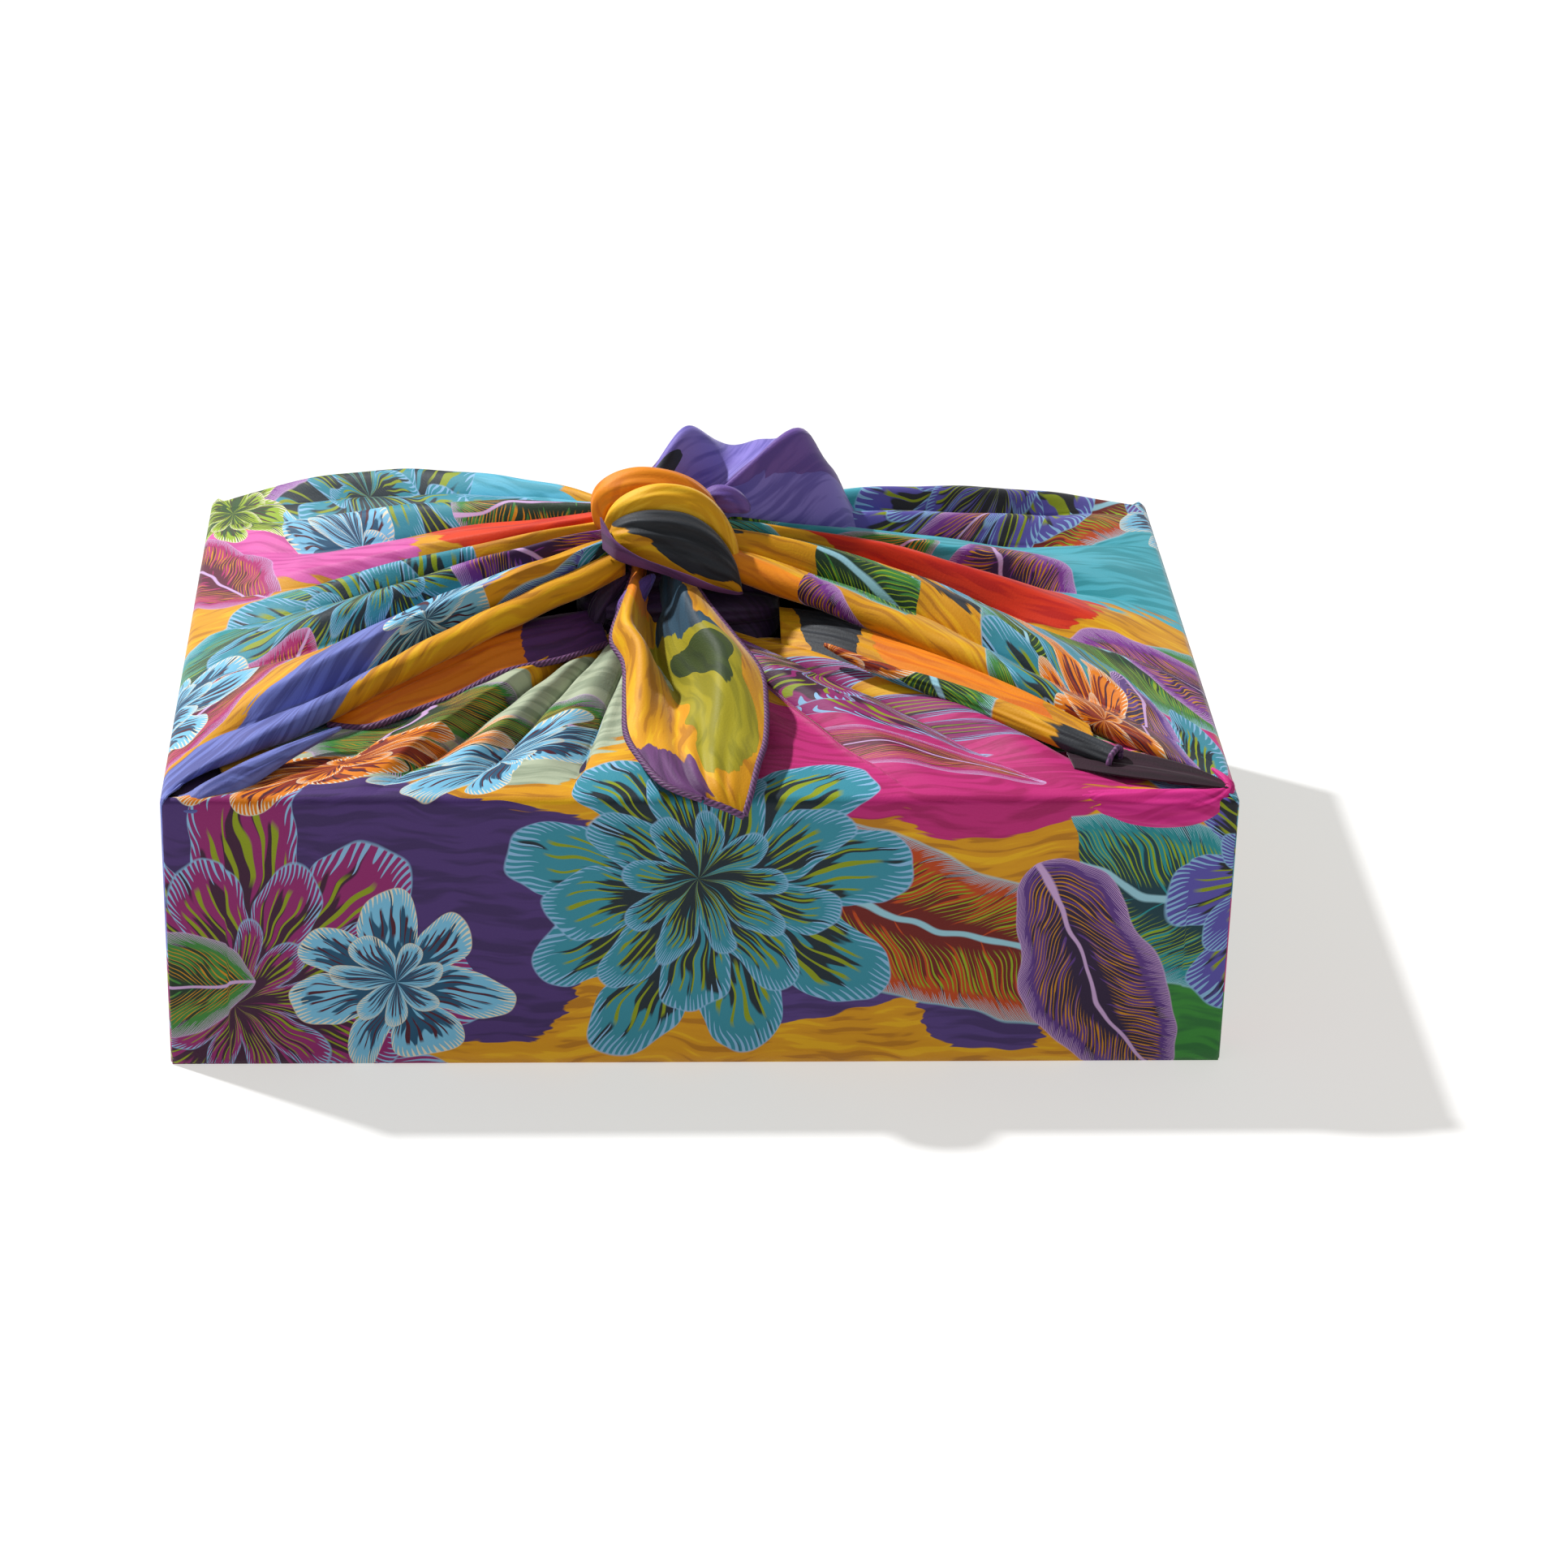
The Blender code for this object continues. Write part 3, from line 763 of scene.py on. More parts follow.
    def distance(
        self,
        tree: bpy.types.NodeTree,
        place: bpy.types.Node,
        middle: tuple[float, float],
        half: tuple[float, float],
    ) -> bpy.types.NodeSocket:
        """How far a place lies from the middle of an ellipse.

        Args:
            tree: The node tree.
            place: The place on the flat cloth.
            middle: The ellipse's middle.
            half: Its half sizes.

        Returns:
            The distance, 1 on the ellipse.
        """
        back = (-middle[0] / half[0], -middle[1] / half[1], 0.0)
        moved = add_node(
            tree, "ShaderNodeVectorMath", (place, (1.0 / half[0], 1.0 / half[1], 0.0), back),
            operation="MULTIPLY_ADD",
        )
        return add_node(tree, "ShaderNodeVectorMath", (moved,), operation="LENGTH").outputs["Value"]

    def scatter(
        self,
        tree: bpy.types.NodeTree,
        ground: tuple[bpy.types.Node, bpy.types.Node],
        colour: bpy.types.NodeSocket,
        motif: Motif,
    ) -> bpy.types.NodeSocket:
        """Scatter one motif over what is printed so far.

        The cloth is parted into cells. In each cell the place from the cell's middle, turned by
        a chance angle, draws the motif.

        Args:
            tree: The node tree.
            ground: The place on the flat cloth, and whether motifs are drawn there.
            colour: What is printed so far.
            motif: What is drawn, and how big.

        Returns:
            The colour with the motif over it.
        """
        place, printed = ground
        scaled = add_node(
            tree, "ShaderNodeVectorMath", (place, (1.0 / motif.spacing,) * 3, (*motif.shift, 0.0)),
            operation="MULTIPLY_ADD",
        )
        cells = add_node(
            tree, "ShaderNodeTexVoronoi",
            {"Vector": scaled, "Scale": 1.0, "Randomness": self.scatter_chance},
            voronoi_dimensions="2D",
        )
        local = add_node(
            tree, "ShaderNodeVectorMath", (scaled, cells.outputs["Position"]), operation="SUBTRACT"
        )
        chance = add_node(tree, "ShaderNodeSeparateColor", (cells.outputs["Color"],))
        angle = add_node(tree, "ShaderNodeMath", (chance, 2.0 * math.pi), operation="MULTIPLY")
        turned = add_node(
            tree, "ShaderNodeVectorRotate", {"Vector": local, "Angle": angle}, rotation_type="Z_AXIS"
        )
        reach = add_node(
            tree, "ShaderNodeMath", (chance.outputs[1], 0.35 * motif.reach, 0.75 * motif.reach),
            operation="MULTIPLY_ADD",
        )
        shares = [k / len(motif.tips) for k in range(len(motif.tips))]
        inks = []
        for palette in (motif.tips, motif.hearts):
            ramp = add_node(tree, "ShaderNodeValToRGB", (chance.outputs[2],), tuple(zip(shares, palette)))
            ramp.color_ramp.interpolation = "CONSTANT"
            inks.append(ramp)
        kept = add_node(tree, "ShaderNodeMath", (chance.outputs[1], motif.thinned), operation="GREATER_THAN")
        kept = add_node(tree, "ShaderNodeMath", (kept, printed), operation="MULTIPLY")
        draw = self.leaf if motif.kind is MotifKind.LEAF else self.blossom
        return draw(tree, turned, (reach, kept, chance), inks, colour, motif)

    def blossom(
        self,
        tree: bpy.types.NodeTree,
        local: bpy.types.Node,
        own: tuple[bpy.types.Node, bpy.types.Node, bpy.types.Node],
        inks: list[bpy.types.Node],
        colour: bpy.types.NodeSocket,
        motif: Motif,
    ) -> bpy.types.NodeSocket:
        """Draw a blossom of rings of petals about its heart.

        Counted in petals round the heart, q is the distance from a petal's middle line, 1 at its
        side. The petal ends at size * (1 - depth * q^2.4), and each has a chance length of its
        own. Each ring is turned by half a petal against the last.

        Args:
            tree: The node tree.
            local: The place from the blossom's heart.
            own: Its radius, whether it is drawn, and its chance numbers.
            inks: The tips' and the heart's colours.
            colour: What is printed so far.
            motif: What is drawn.

        Returns:
            The colour with the blossom over it.
        """
        reach, kept, chance = own
        apart = add_node(tree, "ShaderNodeSeparateXYZ", (local,))
        angle = add_node(tree, "ShaderNodeMath", (apart.outputs[1], apart.outputs[0]), operation="ARCTAN2")
        length = add_node(tree, "ShaderNodeVectorMath", (local,), operation="LENGTH")
        radius = add_node(tree, "ShaderNodeMath", (length.outputs["Value"], reach), operation="DIVIDE")
        for ring in range(motif.rings):
            size = 1.0 - ring / (motif.rings + 0.4)
            per_turn = motif.petals / (2.0 * math.pi)
            turns = add_node(tree, "ShaderNodeMath", (angle, per_turn, 0.5 * ring), operation="MULTIPLY_ADD")
            number = add_node(tree, "ShaderNodeMath", (turns,), operation="ROUND")
            within = add_node(tree, "ShaderNodeMath", (turns, number), operation="SUBTRACT")
            wrapped = add_node(
                tree, "ShaderNodeMath", (number, float(motif.petals)), operation="FLOORED_MODULO"
            )
            named = add_node(tree, "ShaderNodeCombineXYZ", (wrapped, chance, float(ring)))
            whim = add_node(tree, "ShaderNodeTexWhiteNoise", (named,), noise_dimensions="3D")
            side = add_node(tree, "ShaderNodeMath", (within,), operation="ABSOLUTE")
            side = add_node(tree, "ShaderNodeMath", (side, 2.0), operation="MULTIPLY")
            round_tip = add_node(tree, "ShaderNodeMath", (side, 2.4), operation="POWER")
            edge = add_node(
                tree, "ShaderNodeMath", (round_tip, -size * motif.depth, size * 0.88),
                operation="MULTIPLY_ADD",
            )
            edge = add_node(tree, "ShaderNodeMath", (whim, 0.14 * size, edge), operation="MULTIPLY_ADD")
            inside = add_node(tree, "ShaderNodeMath", (edge, radius), operation="SUBTRACT")
            fibre_place = add_node(tree, "ShaderNodeCombineXYZ", (turns, radius, chance))
            fibre_place = add_node(
                tree, "ShaderNodeVectorMath", (fibre_place, (9.0, 2.6, 0.0)), operation="MULTIPLY"
            )
            petal = self.paint(tree, inside, within, fibre_place, inks, motif, size)
            cover = add_node(
                tree, "ShaderNodeMapRange", {"Value": inside, "From Min": 0.0, "From Max": 0.012}
            )
            cover = add_node(tree, "ShaderNodeMath", (cover, kept), operation="MULTIPLY")
            over = add_node(tree, "ShaderNodeMix", {0: cover, 6: colour, 7: petal}, data_type="RGBA")
            colour = over.outputs[2]
        return colour

    def leaf(
        self,
        tree: bpy.types.NodeTree,
        local: bpy.types.Node,
        own: tuple[bpy.types.Node, bpy.types.Node, bpy.types.Node],
        inks: list[bpy.types.Node],
        colour: bpy.types.NodeSocket,
        motif: Motif,
    ) -> bpy.types.NodeSocket:
        """Draw a leaf or a bud.

        It is depth * (1 - x^2)^0.7 wide at the share x of its half length, and its veins lean
        forwards from the rib.

        Args:
            tree: The node tree.
            local: The place from the leaf's middle.
            own: Its half length, whether it is drawn, and its chance numbers.
            inks: The edge's and the middle's colours.
            colour: What is printed so far.
            motif: What is drawn.

        Returns:
            The colour with the leaf over it.
        """
        reach, kept, chance = own
        apart = add_node(tree, "ShaderNodeSeparateXYZ", (local,))
        along = add_node(tree, "ShaderNodeMath", (apart.outputs[0], reach), operation="DIVIDE")
        across = add_node(tree, "ShaderNodeMath", (apart.outputs[1], reach), operation="DIVIDE")
        off_rib = add_node(tree, "ShaderNodeMath", (across,), operation="ABSOLUTE")
        square = add_node(tree, "ShaderNodeMath", (along, along), operation="MULTIPLY")
        left = add_node(tree, "ShaderNodeMath", (1.0, square), operation="SUBTRACT", use_clamp=True)
        shape = add_node(tree, "ShaderNodeMath", (left, 0.7), operation="POWER")
        shape = add_node(tree, "ShaderNodeMath", (shape, motif.depth), operation="MULTIPLY")
        inside = add_node(tree, "ShaderNodeMath", (shape, off_rib), operation="SUBTRACT")
        leaning = add_node(tree, "ShaderNodeMath", (off_rib, -1.1, along), operation="MULTIPLY_ADD")
        veins = add_node(tree, "ShaderNodeMath", (leaning, motif.petals / 5.0), operation="MULTIPLY")
        fibre_place = add_node(tree, "ShaderNodeCombineXYZ", (veins, off_rib, chance))
        fibre_place = add_node(
            tree, "ShaderNodeVectorMath", (fibre_place, (9.0, 5.0, 0.0)), operation="MULTIPLY"
        )
        blade = self.paint(tree, inside, veins, fibre_place, inks, motif, 1.6 * motif.depth)
        rib = add_node(
            tree, "ShaderNodeMapRange",
            {"Value": off_rib, "From Min": 0.010, "From Max": 0.018, "To Min": 1.0, "To Max": 0.0},
        )
        blade = add_node(tree, "ShaderNodeMix", {0: rib, 6: blade, 7: linear(motif.line)}, data_type="RGBA")
        cover = add_node(tree, "ShaderNodeMapRange", {"Value": inside, "From Min": 0.0, "From Max": 0.012})
        cover = add_node(tree, "ShaderNodeMath", (cover, kept), operation="MULTIPLY")
        over = add_node(tree, "ShaderNodeMix", {0: cover, 6: colour, 7: blade.outputs[2]}, data_type="RGBA")
        return over.outputs[2]

    def paint(
        self,
        tree: bpy.types.NodeTree,
        inside: bpy.types.Node,
        across: bpy.types.Node,
        fibre_place: bpy.types.Node,
        inks: list[bpy.types.Node],
        motif: Motif,
        size: float,
    ) -> bpy.types.NodeSocket:
        """Paint a petal or a leaf with a loaded brush.

        The tip's ink runs into the heart's in strokes. Thin pen strokes lie between, and a light
        line with a fringe of fine hairs follows the rim.

        Args:
            tree: The node tree.
            inside: Distance in from the rim, as a share of the motif's reach.
            across: Where it is across the strokes.
            fibre_place: Where it is in the noise that parts the strokes.
            inks: The rim's and the inner colours.
            motif: What is drawn.
            size: The petal's length, as a share of the reach.

        Returns:
            The colour.
        """
        fibre = add_node(
            tree, "ShaderNodeTexNoise", {"Vector": fibre_place, "Scale": 1.0, "Detail": 1.0},
            noise_dimensions="2D",
        )
        run = add_node(tree, "ShaderNodeMath", (inside, 1.25 / size), operation="MULTIPLY")
        run = add_node(tree, "ShaderNodeMath", (fibre, 1.5, run), operation="MULTIPLY_ADD")
        loaded = add_node(tree, "ShaderNodeMapRange", {"Value": run, "From Min": 1.08, "From Max": 1.16})
        body = add_node(tree, "ShaderNodeMix", {0: loaded, 6: inks[0], 7: inks[1]}, data_type="RGBA")
        phase = add_node(tree, "ShaderNodeMath", (fibre, 5.0), operation="MULTIPLY")
        pens, fringes = 2.0 * math.pi * 8.0, 2.0 * math.pi * 15.0
        phase = add_node(tree, "ShaderNodeMath", (across, pens, phase), operation="MULTIPLY_ADD")
        comb = add_node(tree, "ShaderNodeMath", (phase,), operation="SINE")
        pen = add_node(tree, "ShaderNodeMapRange", {"Value": comb, "From Min": 0.66, "From Max": 0.80})
        start = add_node(
            tree, "ShaderNodeMapRange", {"Value": inside, "From Min": 0.15 * size, "From Max": 0.19 * size}
        )
        end = add_node(
            tree, "ShaderNodeMapRange",
            {"Value": inside, "From Min": 0.44 * size, "From Max": 0.50 * size, "To Min": 1.0, "To Max": 0.0},
        )
        pen = add_node(tree, "ShaderNodeMath", (pen, start), operation="MULTIPLY")
        pen = add_node(tree, "ShaderNodeMath", (pen, end), operation="MULTIPLY")
        body = add_node(
            tree, "ShaderNodeMix", {0: pen, 6: body.outputs[2], 7: linear(motif.strokes)}, data_type="RGBA"
        )
        hairs = add_node(tree, "ShaderNodeMath", (across, fringes, phase), operation="MULTIPLY_ADD")
        hairs = add_node(tree, "ShaderNodeMath", (hairs,), operation="SINE", use_clamp=True)
        hairs = add_node(tree, "ShaderNodeMath", (hairs, fibre), operation="MULTIPLY")
        fringe = add_node(tree, "ShaderNodeMath", (hairs, 0.22 * size, 0.015), operation="MULTIPLY_ADD")
        rim = add_node(tree, "ShaderNodeMath", (fringe, inside), operation="SUBTRACT")
        rim = add_node(tree, "ShaderNodeMapRange", {"Value": rim, "From Min": 0.0, "From Max": 0.008})
        body = add_node(
            tree, "ShaderNodeMix", {0: rim, 6: body.outputs[2], 7: linear(motif.line)}, data_type="RGBA"
        )
        return body.outputs[2]

    def weave(self, tree: bpy.types.NodeTree, flat: bpy.types.Node, shader: bpy.types.Node) -> None:
        """Give the cloth its grain and its sheen.

        The real grain is about 0.3 mm, drawn at 0.7 mm so that it shows.

        Args:
            tree: The node tree.
            flat: The place on the flat cloth.
            shader: The shader to dress.
        """
        grain = add_node(
            tree, "ShaderNodeTexNoise", {"Vector": flat, "Scale": 1.0 / self.grain, "Detail": 2.0},
            noise_dimensions="2D",
        )
        bump = add_node(tree, "ShaderNodeBump", {"Strength": 0.35, "Distance": 0.0002, "Height": grain})
        tree.links.new(bump.outputs[0], shader.inputs["Normal"])
        gloss = add_node(
            tree, "ShaderNodeMapRange",
            {"Value": grain, "To Min": self.roughness - 0.06, "To Max": self.roughness + 0.06},
        )
        tree.links.new(gloss.outputs[0], shader.inputs["Roughness"])
        shader.inputs["Sheen Weight"].default_value = self.sheen
        shader.inputs["Sheen Roughness"].default_value = 0.35
        shader.inputs["Specular IOR Level"].default_value = 0.28


@dataclass(frozen=True)
class OverlockThread:
    """Purple polyester thread, overlocked round the rolled edge.

    The eye sees a narrow cord of slanted stitches, a little shinier than the cloth.
    """

    light: str = "#6E4070"
    dark: str = "#43254A"
    pitch: float = 0.0010

    def build(self) -> bpy.types.Material:
        """Make the material.

        A wave texture of scale 20 has one band to each 2 pi.

        Returns:
            The thread, which reads the hem's UV map in metres along and around it.
        """
        material, tree, shader = new_material("purple overlock thread")
        flat = add_node(tree, "ShaderNodeUVMap", uv_map="flat_cloth")
        scale = 1.0 / (self.pitch * 20.0) * 2.0 * math.pi
        stitches = add_node(
            tree, "ShaderNodeTexWave",
            {"Vector": flat, "Scale": scale, "Distortion": 0.6, "Detail": 1.0},
            wave_type="BANDS", bands_direction="DIAGONAL",
        )
        tone = add_node(tree, "ShaderNodeValToRGB", (stitches,), ((0.2, self.dark), (0.8, self.light)))
        tree.links.new(tone.outputs[0], shader.inputs["Base Color"])
        bump = add_node(tree, "ShaderNodeBump", {"Strength": 0.5, "Distance": 0.0004, "Height": stitches})
        tree.links.new(bump.outputs[0], shader.inputs["Normal"])
        shader.inputs["Roughness"].default_value = 0.6
        return material


@dataclass(frozen=True)
class WrappedBoard:
    """Greyboard covered in white paper, with a faint tooth."""

    colour: str = "#E9E6DF"
    shade: str = "#D8D4CB"
    tooth: float = 0.0012

    def build(self) -> bpy.types.Material:
        """Make the material.

        Returns:
            The covered board, which reads Object coordinates.
        """
        material, tree, shader = new_material("paper-covered greyboard")
        place = add_node(tree, "ShaderNodeTexCoord")
        fibres = add_node(
            tree, "ShaderNodeTexNoise",
            {"Vector": place.outputs["Object"], "Scale": 1.0 / self.tooth, "Detail": 3.0},
        )
        tone = add_node(tree, "ShaderNodeValToRGB", (fibres,), ((0.3, self.shade), (0.6, self.colour)))
        tree.links.new(tone.outputs[0], shader.inputs["Base Color"])
        bump = add_node(tree, "ShaderNodeBump", {"Strength": 0.2, "Distance": 0.0002, "Height": fibres})
        tree.links.new(bump.outputs[0], shader.inputs["Normal"])
        shader.inputs["Roughness"].default_value = 0.75
        return material


@dataclass(frozen=True)
class StudioPaper:
    """Matt white background paper, lit through from below so that its shadows stay pale."""

    colour: str = "#A4A4A4"
    glow: float = 0.56
    glow_colour: str = "#FFFDF9"

    def build(self) -> bpy.types.Material:
        """Make the material.

        Returns:
            The paper.
        """
        material, _, shader = new_material("white background paper")
        shader.inputs["Base Color"].default_value = linear(self.colour)
        shader.inputs["Roughness"].default_value = 0.9
        shader.inputs["Emission Color"].default_value = linear(self.glow_colour)
        shader.inputs["Emission Strength"].default_value = self.glow
        return material


# The cloth.


@dataclass
class Wrap:
    """The outer sizes of the wrapped box, as its solid has them, and the cloth's finishes."""

    width: float
    depth: float
    height: float
    cloth: bpy.types.Material
    thread: bpy.types.Material


@dataclass
class FoldedPanel:
    """One side of the box and the tongue that is gathered from it to the knot, as one sheet.

    half is half the side's length, and reach the way from the box edge to where the tongue
    enters the knot. A rolled tongue has its two rims turned down and under.
    """

    name: str
    side: Side
    wrap: Wrap
    half: float
    reach: float
    folds: tuple[Fold, ...]
    creases: tuple[Crease, ...]
    rolled: bool
    held: str = "gathered"
    edge_round: float = 0.0024
    corner_round: float = 0.0022
    roll: float = 0.0050
    tuck: float = 0.012
    rows_up: int = 22
    rows_over: int = 7
    rows_to_knot: int = 92
    half_fold_steps: int = 15
    roll_steps: int = 14
    tuck_steps: int = 5

    def table(self, name: str) -> Array:
        """One column of the folds' table.

        Args:
            name: The column.

        Returns:
            Its values, in metres but for the laps.
        """
        return np.array([getattr(fold, name) for fold in self.folds]) * (1.0 if name == "lap" else MM)

    def crest_lines(self, share: Array) -> tuple[Array, Array]:
        """Where the crests run.

        Args:
            share: Shares of the way to the knot, shaped (rows, 1).

        Returns:
            Their places along the edge and their rises, each shaped (rows, folds).
        """
        along = through(self.table("edge"), self.table("mid"), self.table("knot"), share)
        rise = through(0.0, self.table("mid_rise"), self.table("knot_rise"), share)
        if not self.rolled:
            draw = 0.010 * np.exp(-(((share[:, 0] - 0.13) / 0.10) ** 2))
            along[:, 0] -= np.sign(along[0, 0]) * draw
            along[:, -1] -= np.sign(along[0, -1]) * draw
        return along, rise

    def drop(self, part: Array, share: Array) -> Array:
        """How far a fold has dropped this part of the way from its crest to its valley.

        It is a wave, (1 - cos(pi part)) / 2, at the box edge, and nears a round roll,
        1 - sqrt(1 - part^2), at the knot.

        Args:
            part: Parts of the way, which broadcast with share.
            share: Shares of the way to the knot.

        Returns:
            Shares of the drop.
        """
        roundness = 0.45 + 0.4 * smoothstep(0.2, 0.8, share)
        wave = 0.5 - 0.5 * np.cos(math.pi * part)
        roll = 1.0 - np.sqrt(1.0 - 0.985 * part * part)
        return (1.0 - roundness) * wave + roundness * roll

    def rim(self, along: Array, rise: Array, outward: float, share: Array) -> tuple[Array, Array]:
        """A rim that turns down in half a circle and runs back under its last crest.

        Near the corner of the box the part beneath falls to the top of the box instead.

        Args:
            along: Places of the last crest, shaped (rows,).
            rise: Its rises.
            outward: 1 or -1, the way out along the edge.
            share: Shares of the way to the knot, shaped (rows,).

        Returns:
            Places and rises of the rim's points, shaped (rows, points).
        """
        growth = smoothstep(0.0, 0.36, share)[:, None]
        radius = (0.0010 + (self.roll - 0.0010) * growth) if self.rolled else 0.0008 + 0.0 * growth
        turn = np.linspace(0.0, math.pi, self.roll_steps + 1)[None, 1:]
        arc_along = along[:, None] + outward * radius * np.sin(turn)
        arc_rise = rise[:, None] - radius * (1.0 - np.cos(turn))
        under = np.linspace(0.0, 1.0, self.tuck_steps + 1)[None, 1:]
        tucked = (0.001 + (self.tuck - 0.001) * growth) if self.rolled else 0.002 + 0.0 * growth
        open_below = smoothstep(0.28, 0.52, share)[:, None]
        foot = np.where(self.rolled, (0.0008 - (rise[:, None] - 2.0 * radius)) * (1.0 - open_below), 0.0)
        tuck_along = along[:, None] - outward * tucked * under
        tuck_rise = rise[:, None] - 2.0 * radius + foot * under
        points_along = np.concatenate([arc_along, tuck_along], axis=1)
        points_rise = np.concatenate([arc_rise, tuck_rise], axis=1)
        pull = (1.0 - smoothstep(0.0, 0.06, share))[:, None]
        spread = np.linspace(0.0, 1.0, points_along.shape[1] + 1)[None, 1:]
        target = along[:, None] + (outward * self.half - along[:, None]) * spread
        return points_along + pull * (target - points_along), points_rise * (1 - pull) + rise[:, None] * pull

    def tongue(self, share: Array) -> tuple[Array, Array, Array, Array]:
        """The tongue's sections, rim to rim.

        Args:
            share: Shares of the way to the knot, shaped (rows,).

        Returns:
            Places along the edge and rises, each shaped (rows, columns), then for each column
            the column of the crest that it belongs to, and that crest's number.
        """
        column = share[:, None]
        crest, rise = self.crest_lines(column)
        lap, dip = self.table("lap")[:-1, None], self.table("dip")[:-1, None]
        part = np.arange(self.half_fold_steps) / self.half_fold_steps
        wide = column[:, :, None]
        depth = dip * smoothstep(0.0, 0.38, wide) * (1.0 - 0.40 * smoothstep(0.75, 1.0, wide))
        near, far = crest[:, :-1, None], crest[:, 1:, None]
        near_rise, far_rise = rise[:, :-1, None], rise[:, 1:, None]
        valley = near + lap * (far - near)
        low = near_rise + lap * (far_rise - near_rise) - depth
        back = 1.0 - part
        along = np.concatenate([near + part * (valley - near), far + back * (valley - far)], axis=2)
        heights = np.concatenate(
            [
                near_rise + self.drop(part, wide) * (low - near_rise),
                far_rise + self.drop(back, wide) * (low - far_rise),
            ],
            axis=2,
        )
        rows, count = len(share), len(self.folds)
        first = 1.0 if self.folds[0].edge > self.folds[-1].edge else -1.0
        start = self.rim(crest[:, 0], rise[:, 0], first, share)
        end = self.rim(crest[:, -1], rise[:, -1], -first, share)
        along = np.concatenate([start[0][:, ::-1], along.reshape(rows, -1), crest[:, -1:], end[0]], axis=1)
        heights = np.concatenate([start[1][:, ::-1], heights.reshape(rows, -1), rise[:, -1:], end[1]], axis=1)
        rim_columns, period = start[0].shape[1], 2 * self.half_fold_steps
        number = (np.arange(along.shape[1]) - rim_columns + self.half_fold_steps - 1) // period
        number = np.clip(number, 0, count - 1)
        return along, heights, rim_columns + number * period, number

    def crease(self, along: Array, share: Array) -> Array:
        """Rise that the creases and a slow unevenness add.

        A crease is height * exp(-(distance / width)^2) across, and narrows towards the knot.

        Args:
            along: Places along the edge, shaped (rows, columns).
            share: Shares of the way to the knot, shaped (rows,).

        Returns:
            What is added, shaped (rows, columns).
        """
        column = share[:, None]
        added = np.zeros_like(along)
        for ridge in self.creases:
            middle = through(ridge.edge, ridge.mid, ridge.knot, column) * MM
            width = ridge.width * MM * (1.35 - 0.95 * column)
            grown = smoothstep(ridge.begins, min(1.0, ridge.begins + 0.35), column)
            added += ridge.height * MM * grown * np.exp(-(((along - middle) / width) ** 2))
        waves = np.sin(along * 210.0 + 3.0 * column) * np.sin(column * 17.0 + along * 60.0)
        return added + 0.0005 * smoothstep(0.0, 0.15, column) * waves

    def place(self, along: Array, inward: Array, height: Array) -> Array:
        """World points from places along the edge, inwards from the side and up.

        Args:
            along: Places along the edge.
            inward: Distances from the side's plane.
            height: Heights over the floor.

        Returns:
            Points shaped (rows, columns, 3).
        """
        east, north = self.side.value
        if east:
            return np.stack([east * (self.wrap.width / 2 - inward), along, height], axis=-1)
        return np.stack([along, north * (self.wrap.depth / 2 - inward), height], axis=-1)

    def grid(self) -> tuple[Array, Array]:
        """The sheet's points and their places on the flat cloth.

        Its rows go up the side, over the rounded edge of the box and along the tongue. Between
        two crests the flat place is counted by length from the nearer crest, so each fold shows
        its own strip of the print and the rest is hidden in the valley.

        Returns:
            Points shaped (rows, columns, 3), and flat places shaped (rows, columns, 2).
        """
        top, soft = self.wrap.height, self.edge_round
        climb = np.linspace(CLOTH_THICK, top - soft, self.rows_up)
        turn = np.linspace(0.0, math.pi / 2, self.rows_over + 1)[1:]
        way = np.linspace(soft / self.reach, 1.0, self.rows_to_knot + 1)[1:]
        inward = np.concatenate([0.0 * climb, soft * (1.0 - np.cos(turn)), way * self.reach])
        level = np.concatenate([climb, top - soft * (1.0 - np.sin(turn)), top + 0.0 * way])
        share = inward / self.reach
        along, rise, crest_column, number = self.tongue(share)
        on_top = smoothstep(0.0, math.pi / 2, np.concatenate([0.0 * climb, turn, way + 9.0]))
        limit = self.half - self.corner_round * (1.0 - math.sqrt(0.5))
        kept = np.clip(along, -limit, limit)
        beyond = np.clip(np.abs(kept) - (self.half - self.corner_round), 0.0, None)
        rounding = self.corner_round - np.sqrt(self.corner_round**2 - beyond**2)
        bulge = self.side_swell(kept, level[:, None]) * (1.0 - on_top[:, None])
        height = level[:, None] + on_top[:, None] * (rise + self.crease(along, share))
        points = self.place(kept, inward[:, None] + rounding - bulge, height)
        across = run_length(points, 1)
        from_crest = across - np.take_along_axis(across, np.broadcast_to(crest_column, across.shape), axis=1)
        crest_flat = self.table("edge")[number] * (1.0 + 0.9 * smoothstep(0.0, 0.7, share)[:, None])
        sense = 1.0 if self.folds[-1].edge > self.folds[0].edge else -1.0
        flat_along = crest_flat + sense * from_crest
        flat_out = run_length(points, 0)
        east, north = self.side.value
        if east:
            return points, np.stack([east * (self.wrap.width / 2 + flat_out), flat_along], axis=-1)
        return points, np.stack([flat_along, north * (self.wrap.depth / 2 + flat_out)], axis=-1)

    def side_swell(self, along: Array, height: Array) -> Array:
        """How far the side's cloth stands off the box.

        Args:
            along: Places along the side.
            height: Heights over the floor.

        Returns:
            The slack, about a millimetre at most and none at the corners.
        """
        arch = np.sin(math.pi * np.clip(height / self.wrap.height, 0.0, 1.0))
        slack = 0.5 + 0.3 * np.sin(along * 23.0 + 1.0) + 0.2 * np.sin(along * 61.0 + height * 40.0)
        return 0.0012 * arch * slack * (1.0 - smoothstep(0.8, 1.0, np.abs(along) / self.half))

